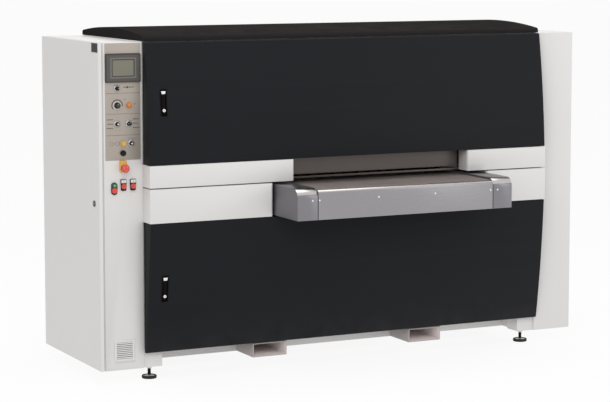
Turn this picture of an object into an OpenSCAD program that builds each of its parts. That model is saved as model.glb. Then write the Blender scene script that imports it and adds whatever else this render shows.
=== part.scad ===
// Sheet metal deburring machine: two pillars carry a box frame with an upper and a lower
// grinding unit between them, and a conveyor table at the front and at the rear.
// Front faces -Y, +Z is up, and the origin is on the floor under the middle of the machine.

/* [Overall] */
// Width over both pillars
machine_w = 2720; // [2700:5:2900]
// Depth of the pillars
machine_d = 820; // [800:5:900]
// Height of a pillar
pillar_h = 1611; // [1600:1:1680]
// Width of one pillar
pillar_w = 225; // [220:1:260]
// Height of the pillars above the floor
foot_clear = 65; // [55:1:90]
// Thickness of the sheet metal covers
skin = 3; // [2:0.5:4]
// Side of the square frame tubes
tube = 80; // [70:1:85]
// Wall of the frame tubes
tube_wall = 5; // [4:0.5:8]

/* [Conveyors] */
// Width of the conveyor belts
belt_w = 1000; // [900:5:1040]
// Height of the belts above the floor
pass_h = 945; // [930:1:960]
// Reach of each table in front of the pillars
table_reach = 356; // [330:1:450]
// Middle of the belts, to the right of the middle of the machine
table_shift = 150; // [130:1:160]
// Depth of a table below its belt
table_h = 147; // [140:1:150]
// Width of the hollow box at each side of a table
side_box_w = 110; // [90:1:115]
// Height of the side boxes above the belt
side_box_up = 9; // [5:1:10]
// Bend radius of the side boxes at their front
side_box_bend_r = 46; // [30:1:60]
// Bend radius of the nose plate
nose_bend_r = 18; // [15:0.5:19]
// Radius of the roller at the nose of a table
nose_roller_r = 20; // [18:0.5:21]
// Radius of the driven roller of a table
drive_roller_r = 30; // [25:0.5:34]
// Thickness of a conveyor belt
belt_t = 2; // [1.5:0.1:2.5]

/* [Grinding units] */
// Gap between the belts and the upper unit at rest
pass_gap = 20; // [20:0.5:30]
// Travel of the upper unit downwards
lift_down = 18; // [10:1:18]
// Travel of the upper unit upwards
lift_up = 30; // [10:1:40]
// Radius of the pulleys
pulley_r = 135; // [120:1:138]
// Width of the pulleys
pulley_w = 150; // [130:1:160]
// Radius of the pulley shafts
shaft_r = 20; // [16:0.5:24]
// Thickness of the carrier belt
carrier_t = 6; // [4:0.5:7]
// Height of the grinding blocks
block_h = 22.7; // [18:0.1:24]
// Length of a grinding block along the belt
block_l = 44; // [36:1:48]
// Width of the grinding blocks
block_w = 140; // [110:1:145]
// Pitch of the grinding blocks
block_pitch = 70; // [62:1:90]
// Radius of the pressure rollers
press_r = 35; // [30:0.5:38]
// Radius of the guide columns
column_r = 22; // [18:0.5:24]

/* [Doors, bands and roof] */
// How far a door stands out next to the bands
door_near = 91; // [85:1:94]
// How far a door stands out at its far edge
door_far = 25; // [22:1:30]
// How much a door bulges over its straight line
door_bulge_d = 9; // [6:0.5:14]
// How far the bands stand out
band_out = 95; // [94:1:110]
// Height of the upper bands
upper_band_h = 109; // [100:1:120]
// Height of the lower bands
lower_band_h = 168; // [160:1:175]
// Gap between the upper and lower bands
band_seam = 6; // [4:0.5:8]
// Bend radius of the bands beside the opening
band_bend_r = 14; // [8:1:20]
// Gap between doors, bands and roof
door_gap = 3; // [2.5:0.5:4]
// Height of the lower door's bottom edge above the pillars' bottom
leg_show = 76; // [76:1:90]
// Height of the roof's upright edge
roof_edge = 12; // [8:1:16]
// Bend radius of the roof's edge
roof_bend_r = 14; // [8:1:18]
// Rise of the roof from its edges to its ridge
roof_rise = 27; // [15:1:40]

/* [Side door] */
// Depth of the side door
side_door_t = 16; // [15:0.5:18]
// Gap between the side door and the cabinet
side_seam = 8; // [8:0.5:12]
// Radius of the side door's lock
lock_r = 15; // [12:0.5:18]

/* [Control panel] */
// Width of the control plate
plate_w = 183; // [180:1:190]
// Height of the control plate
plate_h = 570; // [560:1:580]
// Width of the operator terminal
terminal_w = 180; // [170:1:183]
// Height of the operator terminal
terminal_h = 138; // [120:1:140]
// Width of the screen
screen_w = 117; // [100:1:130]
// Height of the screen
screen_h = 84; // [70:1:95]
// Radius of the round buttons
button_r = 11; // [9:0.5:12]
// Radius of the emergency stop's head
estop_r = 20; // [17:0.5:22]
// Travel of the buttons
press_travel = 4; // [2:0.5:4]

/* [Base] */
// Side of the square legs
leg_w = 100; // [90:1:105]
// Height of the base rails
rail_h = 120; // [110:1:140]
// Front of the rails behind the front of the pillars
rail_back = 195; // [150:1:200]
// Width of a fork pocket
fork_w = 190; // [170:1:210]
// Height of a fork pocket
fork_h = 72; // [66:1:73]
// Distance between the middles of the fork pockets
fork_pitch = 902; // [800:1:1000]
// Wall of the fork pockets
fork_wall = 6; // [5:0.5:8]
// Radius of a levelling foot
foot_r = 37.5; // [32:0.5:44]
// Radius of a levelling foot's stem
stem_r = 8; // [6:0.5:9]

/* [Hidden] */

$fn = 64;
over = 1;        // overrun of every cut
run_fit = 0.05;  // radial clearance of shafts and pins in their bores
free_gap = 0.3;  // clearance between pieces that only pass each other
arc_steps = 12;  // straight steps in a quarter bend of a polygon

// Levels and planes that everything else follows
z_base = foot_clear;
z_top = z_base + pillar_h;
z_roof = z_top + door_gap;
x_out = machine_w / 2;
x_in = x_out - pillar_w;
y_face = machine_d / 2;
seam_z = pass_h + pass_gap;
upper_band_z = seam_z + door_gap / 2;
lower_band_z = upper_band_z - band_seam - lower_band_h;
hood_z = upper_band_z + upper_band_h + door_gap;
lower_door_z = z_base + leg_show;
lower_door_top = lower_band_z - door_gap;
leg_back = 10;
upright_in = leg_back;
y_upright = y_face - upright_in;
door_back = y_face + 2 * door_gap / 3;

// Conveyor places
x_belt = [table_shift - belt_w / 2, table_shift + belt_w / 2];
side_gap = 4;
x_box_in = [x_belt[0] - side_gap, x_belt[1] + side_gap];
x_box_out = [x_box_in[0] - side_box_w, x_box_in[1] + side_box_w];
y_table = y_face + table_reach;
z_table = pass_h - table_h;
table_in = 195;
y_table_end = y_face - table_in;
opening_margin = 5;
x_opening = [x_belt[0] - opening_margin, x_belt[1] + opening_margin];
nose_t = 2.5;
nose_gap = 3;
y_nose = y_table - nose_t - nose_gap - belt_t - free_gap - nose_roller_r;
z_nose = pass_h - belt_t - free_gap - nose_roller_r;
drive_in = 160;
y_drive = y_face - drive_in;
z_drive = pass_h - belt_t - free_gap - drive_roller_r;
roller_shaft_r = 8;

// Grinding unit places
plate_t = 12;
plate_gap = 14;
plate_y = pulley_w / 2 + plate_gap;
loop_r = pulley_r + free_gap + carrier_t + block_h;
tool_under = 1;
z_upper = pass_h + pass_gap + loop_r;
z_lower = pass_h - tool_under - loop_r;
upper_out = 130;
lower_left_out = 210;
lower_right_out = 50;
upper_x = [x_belt[0] - upper_out, x_belt[1] + upper_out];
lower_x = [x_belt[0] - lower_left_out, x_belt[1] + lower_right_out];
column_in = 45;
column_x = x_in - tube - column_in;
column_y = 150;
shelf_t = 16;
shelf_drop = 5;
shelf_z = pass_h - shelf_drop;
z_column_top = z_roof - tube;
y_press = y_drive;
z_press = pass_h + pass_gap + press_r;
press_shaft_r = 10;
arm_t = 12;
arm_out = 25;
arm_clear = 6;
guard_back = 2;
arm_x = [x_belt[0] - arm_out, x_belt[1] + arm_out];
arm_z = pass_h + side_box_up + lift_down + arm_clear;
guard_y = y_face - guard_back;
tie_r = 20;
screw_r = 12;
motor_r = 70;
motor_clear = 19;
motor_l = y_upright - tube - motor_clear - plate_y - plate_t;

// Hinge of the front doors: the same for both, seen from above
hinge_in = 23;
hinge_out = 24;
hinge_x = x_in - hinge_in;
hinge_y = -(y_face + hinge_out);
hinge_r = 12;
hinge_pin_r = 6;
hinge_h = 14;
hinge_arm_w = 18;
hinge_reach = 34;
hinge_rise = 0.5;
hinge_high = 66;
hinge_low = 126;
hood_hinge_z = [hood_z + hinge_high, z_top - hinge_low];
lower_hinge_z = [lower_door_z + hinge_low, lower_door_top - hinge_high];

// Hinge of the side door
side_axis_in = 9.5;
side_axis_back = 10;
side_axis_x = -(x_out - side_axis_in);
side_axis_y = y_face - side_axis_back;
side_hinge_r = 5.5;
side_arm_half = 2.2;
side_pin_r = 3;
side_hinge_h = 20;
side_hinge_end = 210;
side_hinge_z = [z_base + side_hinge_end, z_top - side_hinge_end];

// Latches of the front doors
latch_in = 86;
latch_x = -(x_in - latch_in);
latch_w = 35;
latch_h = 135;
latch_rim = 3;
latch_depth = 24;
latch_proud = 3;
lever_t = 11;
lever_pin_r = 3;
hood_latch_share = 0.5071;
lower_latch_share = 0.4996;
hood_latch_z = hood_z + hood_latch_share * (z_top - hood_z);
lower_latch_z = lower_door_z + lower_latch_share * (lower_door_top - lower_door_z);

// Control plate and what is on it: places are shares of the plate's width and height
plate_in = 32;
plate_x = -(x_out - plate_in);
plate_z = z_top - door_gap - plate_h;
plate_t2 = 2;
y_plate = y_face + plate_t2;
mode_shares = [0.339, 0.616];
knob_shares = [0.339, 0.470];
lamp_shares = [0.672, 0.470];
left_shares = [0.333, 0.311];
right_shares = [0.661, 0.311];
reset_shares = [0.497, 0.142];
feed_shares = [0.727, 0.142];
black_shares = [0.492, 0.060];
terminal_share = 0.789;
estop_share = 0.52;
stop_place_shares = [0.333, 0.547, 0.764];
estop_drop = 33;
stop_drop = 122;
double_drop = 137;
ring_w = 2.5;
ring_h = 5;
cap_h = 8;
knob_r = 15;
stop_body_w = 30;
stop_body_h = 56;
estop_box_w = 45;
estop_box_h = 50;
estop_box_d = 20;
estop_travel = 5;
start_side = 20;

// A box from its low corner to its high corner
module box_at(lo, hi) {
    translate(lo) cube(hi - lo);
}

// The same shape again on the other side of the middle plane, left to right
module both_sides() {
    children();
    mirror([1, 0, 0]) children();
}

// The same shape at the front and at the rear
module front_and_rear() {
    children();
    mirror([0, 1, 0]) children();
}

// Square tubes along each axis, from a low corner over a length
module tube_x(at, length, height = tube) {
    difference() {
        box_at(at, at + [length, tube, height]);
        box_at(at + [-over, tube_wall, tube_wall],
            at + [length + over, tube - tube_wall, height - tube_wall]);
    }
}

module tube_y(at, length, height = tube) {
    difference() {
        box_at(at, at + [tube, length, height]);
        box_at(at + [tube_wall, -over, tube_wall],
            at + [tube - tube_wall, length + over, height - tube_wall]);
    }
}

module tube_z(at, length) {
    difference() {
        box_at(at, at + [tube, tube, length]);
        box_at(at + [tube_wall, tube_wall, -over], at + [tube - tube_wall, tube - tube_wall,
            length + over]);
    }
}

// A round bar or bore along X or Y between two places
module round_x(r, x0, x1, y, z) {
    translate([x0, y, z]) rotate([0, 90, 0]) cylinder(r = r, h = x1 - x0);
}

module round_y(r, y0, y1, x, z) {
    translate([x, y1, z]) rotate([90, 0, 0]) cylinder(r = r, h = y1 - y0);
}

// A flat outline in Y and Z, carried along X
module along_x(x0, x1) {
    translate([x0, 0, 0]) rotate([90, 0, 90]) linear_extrude(height = x1 - x0) children();
}

// Points on a circle from one angle to another, in degrees
function arc_points(c, r, a0, a1) =
    [for (i = [0 : arc_steps]) c + r * [cos(a0 + (a1 - a0) * i / arc_steps),
        sin(a0 + (a1 - a0) * i / arc_steps)]];

// Base and frame

module base_frame() {
    color("gainsboro") difference() {
        union() {
            both_sides() front_and_rear()
                box_at([-x_in, -y_face + leg_back, z_base], [-x_in + leg_w, -y_face + leg_back + leg_w,
                    z_base + rail_h]);
            both_sides()
                tube_y([-x_in, -y_face + leg_back + leg_w, z_base], machine_d - 2 * (leg_back + leg_w),
                    rail_h);
            front_and_rear()
                tube_x([-x_in + tube, -y_face + rail_back, z_base], 2 * (x_in - tube), rail_h);
        }
        both_sides() fork_space();
        both_sides() front_and_rear()
            translate([-x_in + leg_w / 2, -y_face + leg_back + leg_w / 2, z_base - over])
                cylinder(r = stem_r + free_gap, h = stem_in + 2 * over);
    }
}

// The room that a fork pocket takes up in the rails
module fork_space() {
    box_at([-fork_pitch / 2 - fork_w / 2, -y_face, z_base - over],
        [-fork_pitch / 2 + fork_w / 2, y_face, z_base + fork_h]);
}

fork_proud = 6;
module fork_pockets() {
    color("darkgray") both_sides() difference() {
        box_at([-fork_pitch / 2 - fork_w / 2, -y_face - fork_proud, z_base],
            [-fork_pitch / 2 + fork_w / 2, y_face + fork_proud, z_base + fork_h]);
        box_at([-fork_pitch / 2 - fork_w / 2 + fork_wall, -y_face - fork_proud - over, z_base + fork_wall],
            [-fork_pitch / 2 + fork_w / 2 - fork_wall, y_face + fork_proud + over,
                z_base + fork_h - fork_wall]);
    }
}

stem_in = 40;
foot_rim = 11;
foot_dome = 20;
foot_neck_r = 13;
nut_r = 15;
nut_h = 13;
module leveling_foot() {
    rotate_extrude()
        polygon([[0, 0], [foot_r - nose_t, 0], [foot_r, nose_t], [foot_r, foot_rim - nose_t],
            [foot_r - nose_t, foot_rim], [foot_neck_r + nose_t, foot_dome], [foot_neck_r,
                foot_dome + nose_t],
            [foot_neck_r, foot_dome + 2 * nose_t], [stem_r, foot_dome + 2 * nose_t],
            [stem_r, z_base + stem_in], [0, z_base + stem_in]]);
    translate([0, 0, z_base - nut_h]) cylinder(r = nut_r, h = nut_h, $fn = 6);
}

module leveling_feet() {
    color("dimgray") both_sides() front_and_rear()
        translate([-x_in + leg_w / 2, -y_face + leg_back + leg_w / 2, 0]) leveling_foot();
}

member_drop = 365;
beam_drop = 18;
shelf_side = 40;
shelf_front = 35;
member_low = pass_h - member_drop;
member_high = shelf_z - tube;
beam_mid = z_table - tube - beam_drop;
shelf_y = column_y + shelf_side;
shelf_x = column_x - shelf_front;
module portal_frame() {
    color("gainsboro") {
        both_sides() front_and_rear()
            tube_z([-x_in, -y_upright, z_base + rail_h], z_roof - z_base - rail_h);
        both_sides() for (z = [member_low, member_high, z_roof - tube])
            tube_y([-x_in, -y_upright + tube, z], 2 * (y_upright - tube));
        front_and_rear() for (z = [beam_mid, z_roof - tube])
            tube_x([-x_in + tube, -y_upright, z], 2 * (x_in - tube));
        both_sides() box_at([-x_in + tube, -shelf_y, shelf_z - shelf_t], [-shelf_x, shelf_y, shelf_z]);
        both_sides() difference() {
            box_at([-x_in + tube, -shelf_y, z_column_top], [-shelf_x, shelf_y, z_column_top + shelf_t]);
            translate([-column_x, 0, z_column_top - over])
                cylinder(r = screw_r + 2 * over, h = shelf_t + 2 * over);
        }
    }
}

jack_w = 60;
jack_d = 90;
jack_h = 74;
// Guide columns, and the screw jacks between them that lift the upper unit
module lift_columns() {
    color("silver") both_sides() {
        front_and_rear() translate([-column_x, -column_y, shelf_z])
            cylinder(r = column_r, h = z_column_top - shelf_z);
        difference() {
            union() {
                box_at([-column_x - jack_w / 2, -jack_d / 2, z_column_top - jack_h],
                    [-column_x + jack_w / 2, jack_d / 2, z_column_top]);
                round_y(jack_w / 3, -jack_d, jack_d / 2, -column_x, z_column_top - jack_h / 2);
            }
            translate([-column_x, 0, z_column_top - jack_h - over])
                cylinder(r = screw_r + free_gap, h = jack_h + 2 * over);
        }
    }
}

// Pillars and covers

cabinet_x = -(x_out - side_door_t - side_seam);
rim_w = 14;
gland_in_x = 90;
gland_up = 130;
gland_x = cabinet_x + gland_in_x;
gland_z = z_base + gland_up;
gland_r = 20;
gland_bore_r = 11;
module left_housing() {
    y_in = y_face - skin - free_gap;
    z_low = z_base + skin + free_gap;
    z_high = z_top - skin - free_gap;
    rim_low = z_base + rim_w;
    rim_high = z_top - rim_w;
    x_rim = cabinet_x + skin;
    color("gainsboro") {
        difference() {
            box_at([cabinet_x, -y_face, z_base], [-x_in, -y_face + skin, z_top]);
            vent_window();
        }
        difference() {
            box_at([cabinet_x, y_face - skin, z_base], [-x_in, y_face, z_top]);
            round_y(gland_r + free_gap, y_face - skin - over, y_face + over, gland_x, gland_z);
        }
        // floor, roof and the wall beside the throat
        for (z = [z_base, z_top - skin]) box_at([cabinet_x, -y_in, z], [-x_in, y_in, z + skin]);
        box_at([-x_in - skin, -y_in, z_low], [-x_in, y_in, z_high]);
        // the rim that the side door closes on
        box_at([cabinet_x, -y_in, z_low], [x_rim, y_in, rim_low]);
        box_at([cabinet_x, -y_in, rim_high], [x_rim, y_in, z_high]);
        box_at([cabinet_x, -y_in, rim_low + free_gap], [x_rim, -y_face + rim_w, rim_high - free_gap]);
        box_at([cabinet_x, y_face - rim_w, rim_low + free_gap], [x_rim, y_in, rim_high - free_gap]);
    }
}

grille_in_x = 122;
grille_up = 97;
grille_x = -(x_out - grille_in_x);
grille_z = z_base + grille_up;
grille_w = 105;
grille_h = 108;
vent_w = 84;
vent_h = 82;
module vent_window() {
    box_at([grille_x - vent_w / 2, -y_face - over, grille_z - vent_h / 2],
        [grille_x + vent_w / 2, -y_face + skin + over, grille_z + vent_h / 2]);
}

louvre_count = 9;
louvre_t = 2;
grille_t = 4;
grille_lip = 9;
// A frame with slanted louvres and a drip lip along its bottom
module vent_grille() {
    louvre_pitch = vent_h / louvre_count;
    color("gainsboro") {
        difference() {
            box_at([grille_x - grille_w / 2, -y_face - grille_t, grille_z - grille_h / 2],
                [grille_x + grille_w / 2, -y_face, grille_z + grille_h / 2]);
            box_at([grille_x - vent_w / 2, -y_face - grille_t - over, grille_z - vent_h / 2],
                [grille_x + vent_w / 2, -y_face + over, grille_z + vent_h / 2]);
        }
        for (i = [0 : louvre_count - 1])
            along_x(grille_x - vent_w / 2 - over, grille_x + vent_w / 2 + over)
                translate([-y_face - grille_t + louvre_t / 2,
                    grille_z - vent_h / 2 + (i + 0.5) * louvre_pitch])
                    polygon([[0, -louvre_pitch / 3], [louvre_t, louvre_pitch / 3 - louvre_t],
                        [louvre_t, louvre_pitch / 3], [0, louvre_t - louvre_pitch / 3]]);
        box_at([grille_x - grille_w / 2, -y_face - grille_lip, grille_z - grille_h / 2],
            [grille_x + grille_w / 2, -y_face - grille_t, grille_z - grille_h / 2 + louvre_t]);
    }
}

module right_housing() {
    color("gainsboro") difference() {
        box_at([x_in, -y_face, z_base], [x_out, y_face, z_top]);
        box_at([x_in + skin, -y_face + skin, z_base + skin], [x_out - skin, y_face - skin, z_top - skin]);
    }
}

gland_out = 26;
gland_nut_h = 8;
gland_nut_r = 26;
gland_in = 18;
module cable_gland() {
    color("dimgray") difference() {
        union() {
            round_y(gland_r, y_face - gland_in, y_face + gland_out, gland_x, gland_z);
            translate([gland_x, y_face + gland_nut_h, gland_z]) rotate([90, 0, 0])
                cylinder(r = gland_nut_r, h = gland_nut_h, $fn = 6);
            translate([gland_x, y_face - skin, gland_z]) rotate([90, 0, 0])
                cylinder(r = gland_nut_r, h = gland_nut_h, $fn = 6);
        }
        round_y(gland_bore_r, y_face - gland_in - over, y_face + gland_out + over, gland_x, gland_z);
    }
}

// Outline of the roof from front to rear: upright edges, a bend and a shallow crown
roof_over = 10;
roof_y = y_face + roof_over;
function roof_crown(y) = roof_rise * (1 - pow(y / (roof_y - roof_bend_r), 2));
module roof_outline(inset) {
    half = roof_y - inset;
    bend = roof_bend_r - inset;
    z_bend = z_roof + roof_edge;
    z_edge = z_bend + bend;
    crown = [for (i = [-arc_steps : arc_steps])
        let (y = i / arc_steps * (half - bend)) [y, z_edge + roof_crown(y)]];
    polygon(concat(
        [[half, z_roof - (inset > 0 ? over : 0)], [-half, z_roof - (inset > 0 ? over : 0)]],
        arc_points([-half + bend, z_bend], bend, 180, 90), crown,
        arc_points([half - bend, z_bend], bend, 90, 0)));
}

module roof_cover() {
    color([0.2, 0.19, 0.19]) difference() {
        along_x(-x_in, x_in) roof_outline(0);
        along_x(-x_in + skin, x_in - skin) roof_outline(skin);
    }
}

cover_gap = 3;
spigot_x = 600;
spigot_r = 75;
spigot_l = 80;
spigot_end = 290;
rear_slot_h = 60;
spigot_z = [lower_door_z + spigot_end, z_top - spigot_end];
rear_slot_z = pass_h + rear_slot_h;
// Three flat covers with returns, and the collars that the extraction hoses go on
module rear_covers() {
    x_cover = x_in - cover_gap;
    color("gainsboro") {
        difference() {
            union() {
                rear_cover(x_cover, lower_door_z, lower_door_top);
                rear_cover(x_cover, lower_band_z, hood_z - cover_gap);
                rear_cover(x_cover, hood_z, z_top);
            }
            box_at([x_box_out[0] - table_gap, y_upright - over, lower_band_z - over],
                [x_box_out[1] + table_gap, y_face + over, rear_slot_z]);
            both_sides() for (z = spigot_z)
                round_y(spigot_r - skin, y_face - skin - over, y_face + over, spigot_x, z);
        }
        both_sides() for (z = spigot_z) difference() {
            round_y(spigot_r, y_face, y_face + spigot_l, spigot_x, z);
            round_y(spigot_r - skin, y_face - over, y_face + spigot_l + over, spigot_x, z);
        }
    }
}

module rear_cover(x_cover, z0, z1) {
    difference() {
        box_at([-x_cover, y_upright, z0], [x_cover, y_face, z1]);
        box_at([-x_cover + skin, y_upright - over, z0 + skin], [x_cover - skin, y_face - skin, z1 - skin]);
    }
}

// One band: a closed sheet box with its bent edge beside the opening
band_back = door_gap / 3;
module band(x_end, x_near, z, h) {
    side = x_near > x_end ? 1 : -1;
    front = -y_face - band_out;
    back = -y_face - band_back;
    difference() {
        band_block(x_end, x_near, z, h, 0, side, front, back);
        band_block(x_end + side * skin, x_near - side * skin, z + skin, h - 2 * skin, skin, side,
            front, back);
    }
    box_at([min(x_end, x_end + side * tube), back, z], [max(x_end, x_end + side * tube), -y_upright,
        z + h]);
}

module band_block(x_end, x_near, z, h, inset, side, front, back) {
    bend = band_bend_r - inset;
    difference() {
        box_at([min(x_end, x_near), front + inset, z], [max(x_end, x_near), back - inset, z + h]);
        translate([x_near - side * bend, front + inset + bend, z - over]) difference() {
            box_at([min(0, side * (bend + over)), -bend - over, 0], [max(0, side * (bend + over)), 0,
                h + 2 * over]);
            translate([0, 0, -over]) cylinder(r = bend, h = h + 4 * over);
        }
    }
}

table_gap = 8;
module band_panels() {
    color("gainsboro") {
        band(-x_in, x_opening[0], upper_band_z, upper_band_h);
        band(x_in, x_opening[1], upper_band_z, upper_band_h);
        band(-x_in, x_box_out[0] - table_gap, lower_band_z, lower_band_h);
        band(x_in, x_box_out[1] + table_gap, lower_band_z, lower_band_h);
    }
}

slit_h = 11;
lip_h = 10;
lip_out = 4;
guard_up = 55;
guard_top = hood_z + guard_up;
slit_end = 12;
// Sheet that closes the throat above the belt, with a slit over its lower lip
module throat_guard() {
    z0 = pass_h + pass_gap + tool_under;
    color("darkgray") {
        difference() {
            union() {
                box_at([arm_x[0] - arm_t / 2, -guard_y, arm_z], [arm_x[1] + arm_t / 2, -guard_y + skin,
                    guard_top]);
                box_at([x_opening[0] + cover_gap, -guard_y, z0], [x_opening[1] - cover_gap,
                    -guard_y + skin, arm_z]);
            }
            box_at([x_opening[0] + slit_end, -guard_y - over, z0 + lip_h],
                [x_opening[1] - slit_end, -guard_y + skin + over, z0 + lip_h + slit_h]);
        }
        for (z = [z0, z0 + lip_h + slit_h])
            box_at([x_opening[0] + cover_gap, -guard_y - lip_out, z], [x_opening[1] - cover_gap,
                -guard_y, z + skin]);
        box_at([x_opening[0] + cover_gap, -guard_y - lip_out, z0], [x_opening[1] - cover_gap,
            -guard_y - lip_out + skin, z0 + lip_h]);
    }
}

// Front doors

// How far a door's face stands out at a share of the way from its far edge to the bands
function door_out(share) = door_far + (door_near - door_far)
    * share + door_bulge_d * 4 * share * (1 - share);
function door_slope(share, h) = (door_near - door_far + door_bulge_d * 4 * (1 - 2 * share)) / h;

// Outline of a door in Y and Z: up is 1 for the hood, -1 for the lower door
door_edge_r = 10;
module door_outline(z_far, z_near, inset) {
    up = sign(z_far - z_near);
    h = abs(z_far - z_near);
    far = z_far - up * inset;
    near = z_near + up * inset;
    bend = door_edge_r - inset;
    start = door_edge_r / h;
    face = [for (i = [0 : 2 * arc_steps])
        let (share = start + (1 - start) * i / (2 * arc_steps))
        [-y_face - door_out(share) + inset, z_far - up * max(inset + bend, min(h - inset, share * h))]];
    back = -door_back + (inset > 0 ? over : 0);
    corner = [for (i = [0 : arc_steps])
        let (a = 90 * i / arc_steps)
        [-y_face - door_out(start) + inset + bend * (1 - sin(a)), far - up * bend * (1 - cos(a))]];
    polygon(concat([[back, near], [back, far]], corner, face));
}

module door_shell(z_far, z_near) {
    difference() {
        along_x(-x_in + door_gap, x_in - door_gap) door_outline(z_far, z_near, 0);
        along_x(-x_in + door_gap + skin, x_in - door_gap - skin) door_outline(z_far, z_near, skin);
    }
}

// Hinge lug inside a door, over the fixed eye
lug_h = 10;
pin_proud = 2;
module door_lug(z) {
    x_wall = x_in - door_gap - skin / 2;
    z0 = z + hinge_h / 2 + hinge_rise;
    difference() {
        union() {
            translate([hinge_x, hinge_y, z0]) cylinder(r = hinge_r, h = lug_h);
            box_at([hinge_x, hinge_y - hinge_r, z0], [x_wall, hinge_y + hinge_r, z0 + lug_h]);
        }
        translate([hinge_x, hinge_y, z0 - over]) cylinder(r = hinge_pin_r + run_fit, h = lug_h + 2 * over);
    }
}

// The eye, its arm to the upright and the pin that stands in it
module fixed_hinge(z) {
    arm_out = hinge_x - hinge_reach;
    z0 = z - hinge_h / 2;
    translate([hinge_x, hinge_y, z0]) cylinder(r = hinge_r, h = hinge_h);
    box_at([arm_out - hinge_arm_w / 2, hinge_y - hinge_r, z0], [hinge_x, hinge_y, z0 + hinge_h]);
    box_at([arm_out - hinge_arm_w / 2, hinge_y - hinge_r, z0], [arm_out + hinge_arm_w / 2, -y_upright,
        z0 + hinge_h]);
    translate([hinge_x, hinge_y, z0]) cylinder(r = hinge_pin_r,
        h = hinge_h + hinge_rise + lug_h + pin_proud);
}

// Place of a latch on its door: turned to lie along the door's face
module on_door(z_far, z_near, z) {
    h = abs(z_far - z_near);
    share = abs(z_far - z) / h;
    tilt = sign(z_far - z_near) * atan(door_slope(share, h));
    translate([latch_x, -y_face - door_out(share), z]) rotate([-tilt, 0, 0]) children();
}

module latch_window() {
    box_at([-latch_w / 2 + latch_rim - free_gap, -latch_proud, -latch_h / 2 + latch_rim - free_gap],
        [latch_w / 2 - latch_rim + free_gap, latch_depth + over, latch_h / 2 - latch_rim + free_gap]);
}

module hood_door() {
    color([0.16, 0.16, 0.18]) {
        difference() {
            door_shell(z_top, hood_z);
            on_door(z_top, hood_z, hood_latch_z) latch_window();
        }
        for (z = hood_hinge_z) door_lug(z);
    }
}

module lower_door() {
    color([0.16, 0.16, 0.18]) {
        difference() {
            door_shell(lower_door_z, lower_door_top);
            on_door(lower_door_z, lower_door_top, lower_latch_z) latch_window();
        }
        for (z = lower_hinge_z) door_lug(z);
    }
}

// A rounded plate, seen from the front
module rounded_plate(w, h, t, r) {
    translate([0, t, 0]) rotate([90, 0, 0]) linear_extrude(height = t) {
        square([w - 2 * r, h], center = true);
        square([w, h - 2 * r], center = true);
        for (sx = [-1, 1], sz = [-1, 1])
            translate([sx * (w / 2 - r), sz * (h / 2 - r)]) circle(r = r);
    }
}

// Swing handle: a dish set into the door, and a lever that lifts out of it
dish_wall = 2;
dish_r = 6;
lever_side = 0.5;
lever_drop = 9;
lever_w = latch_w - 2 * (latch_rim + dish_wall + lever_side);
lever_l = latch_h - 4 * latch_rim;
lever_top = latch_h / 2 - latch_rim - lever_drop;
module latch_dish() {
    inner_w = latch_w - 2 * (latch_rim + dish_wall);
    inner_h = latch_h - 2 * (latch_rim + dish_wall);
    difference() {
        union() {
            translate([0, -latch_proud, 0]) rounded_plate(latch_w, latch_h, latch_proud, dish_r);
            box_at([-latch_w / 2 + latch_rim, -over, -latch_h / 2 + latch_rim],
                [latch_w / 2 - latch_rim, latch_depth, latch_h / 2 - latch_rim]);
        }
        box_at([-inner_w / 2, -latch_proud - over, -inner_h / 2], [inner_w / 2,
            latch_depth - dish_wall, inner_h / 2]);
        round_x(lever_pin_r + run_fit, -latch_w / 2 + latch_rim - over, latch_w / 2 - latch_rim + over,
            lever_t / 2 - latch_proud / 2, lever_top);
    }
}

module latch_lever() {
    y_pin = lever_t / 2 - latch_proud / 2;
    z_low = lever_top - lever_l + lever_t;
    round_x(lever_pin_r, -latch_w / 2 + latch_rim + free_gap, latch_w / 2 - latch_rim - free_gap,
        y_pin, lever_top);
    round_x(lever_t / 2, -lever_w / 2, lever_w / 2, y_pin, lever_top);
    box_at([-lever_w / 2, y_pin - lever_t / 2, z_low], [lever_w / 2, y_pin + lever_t / 2, lever_top]);
}

module hood_latch_dish() {
    color([0.08, 0.08, 0.08]) on_door(z_top, hood_z, hood_latch_z) latch_dish();
}

module hood_latch_lever() {
    color([0.1, 0.1, 0.1]) on_door(z_top, hood_z, hood_latch_z) latch_lever();
}

module lower_latch_dish() {
    color([0.08, 0.08, 0.08]) on_door(lower_door_z, lower_door_top, lower_latch_z) latch_dish();
}

module lower_latch_lever() {
    color([0.1, 0.1, 0.1]) on_door(lower_door_z, lower_door_top, lower_latch_z) latch_lever();
}

// Side door of the cabinet

lock_in = 73;
lock_up = 823;
lock_y = -(y_face - lock_in);
lock_z = z_base + lock_up;
side_corner_r = 8;
module cabinet_door() {
    x0 = -x_out;
    x1 = -x_out + side_door_t;
    color("gainsboro") {
        difference() {
            box_at([x0, -y_face, z_base], [x1, y_face, z_top]);
            box_at([x0 + skin, -y_face + skin, z_base + skin], [x1 + over, y_face - skin, z_top - skin]);
            translate([x0 + side_corner_r, -y_face + side_corner_r, z_base - over]) difference() {
                box_at([-side_corner_r - over, -side_corner_r - over, 0], [0, 0, pillar_h + 2 * over]);
                translate([0, 0, -over]) cylinder(r = side_corner_r, h = pillar_h + 4 * over);
            }
            round_x(lock_r * barrel_share + run_fit, x0 - over, x0 + skin + over, lock_y, lock_z);
            for (z = side_hinge_z)
                box_at([x0 + skin + over, y_face - skin - over, z - side_hinge_h],
                    [x1 + over, y_face + over, z + side_hinge_h]);
        }
        for (z = side_hinge_z) side_lug(z);
    }
}

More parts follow.
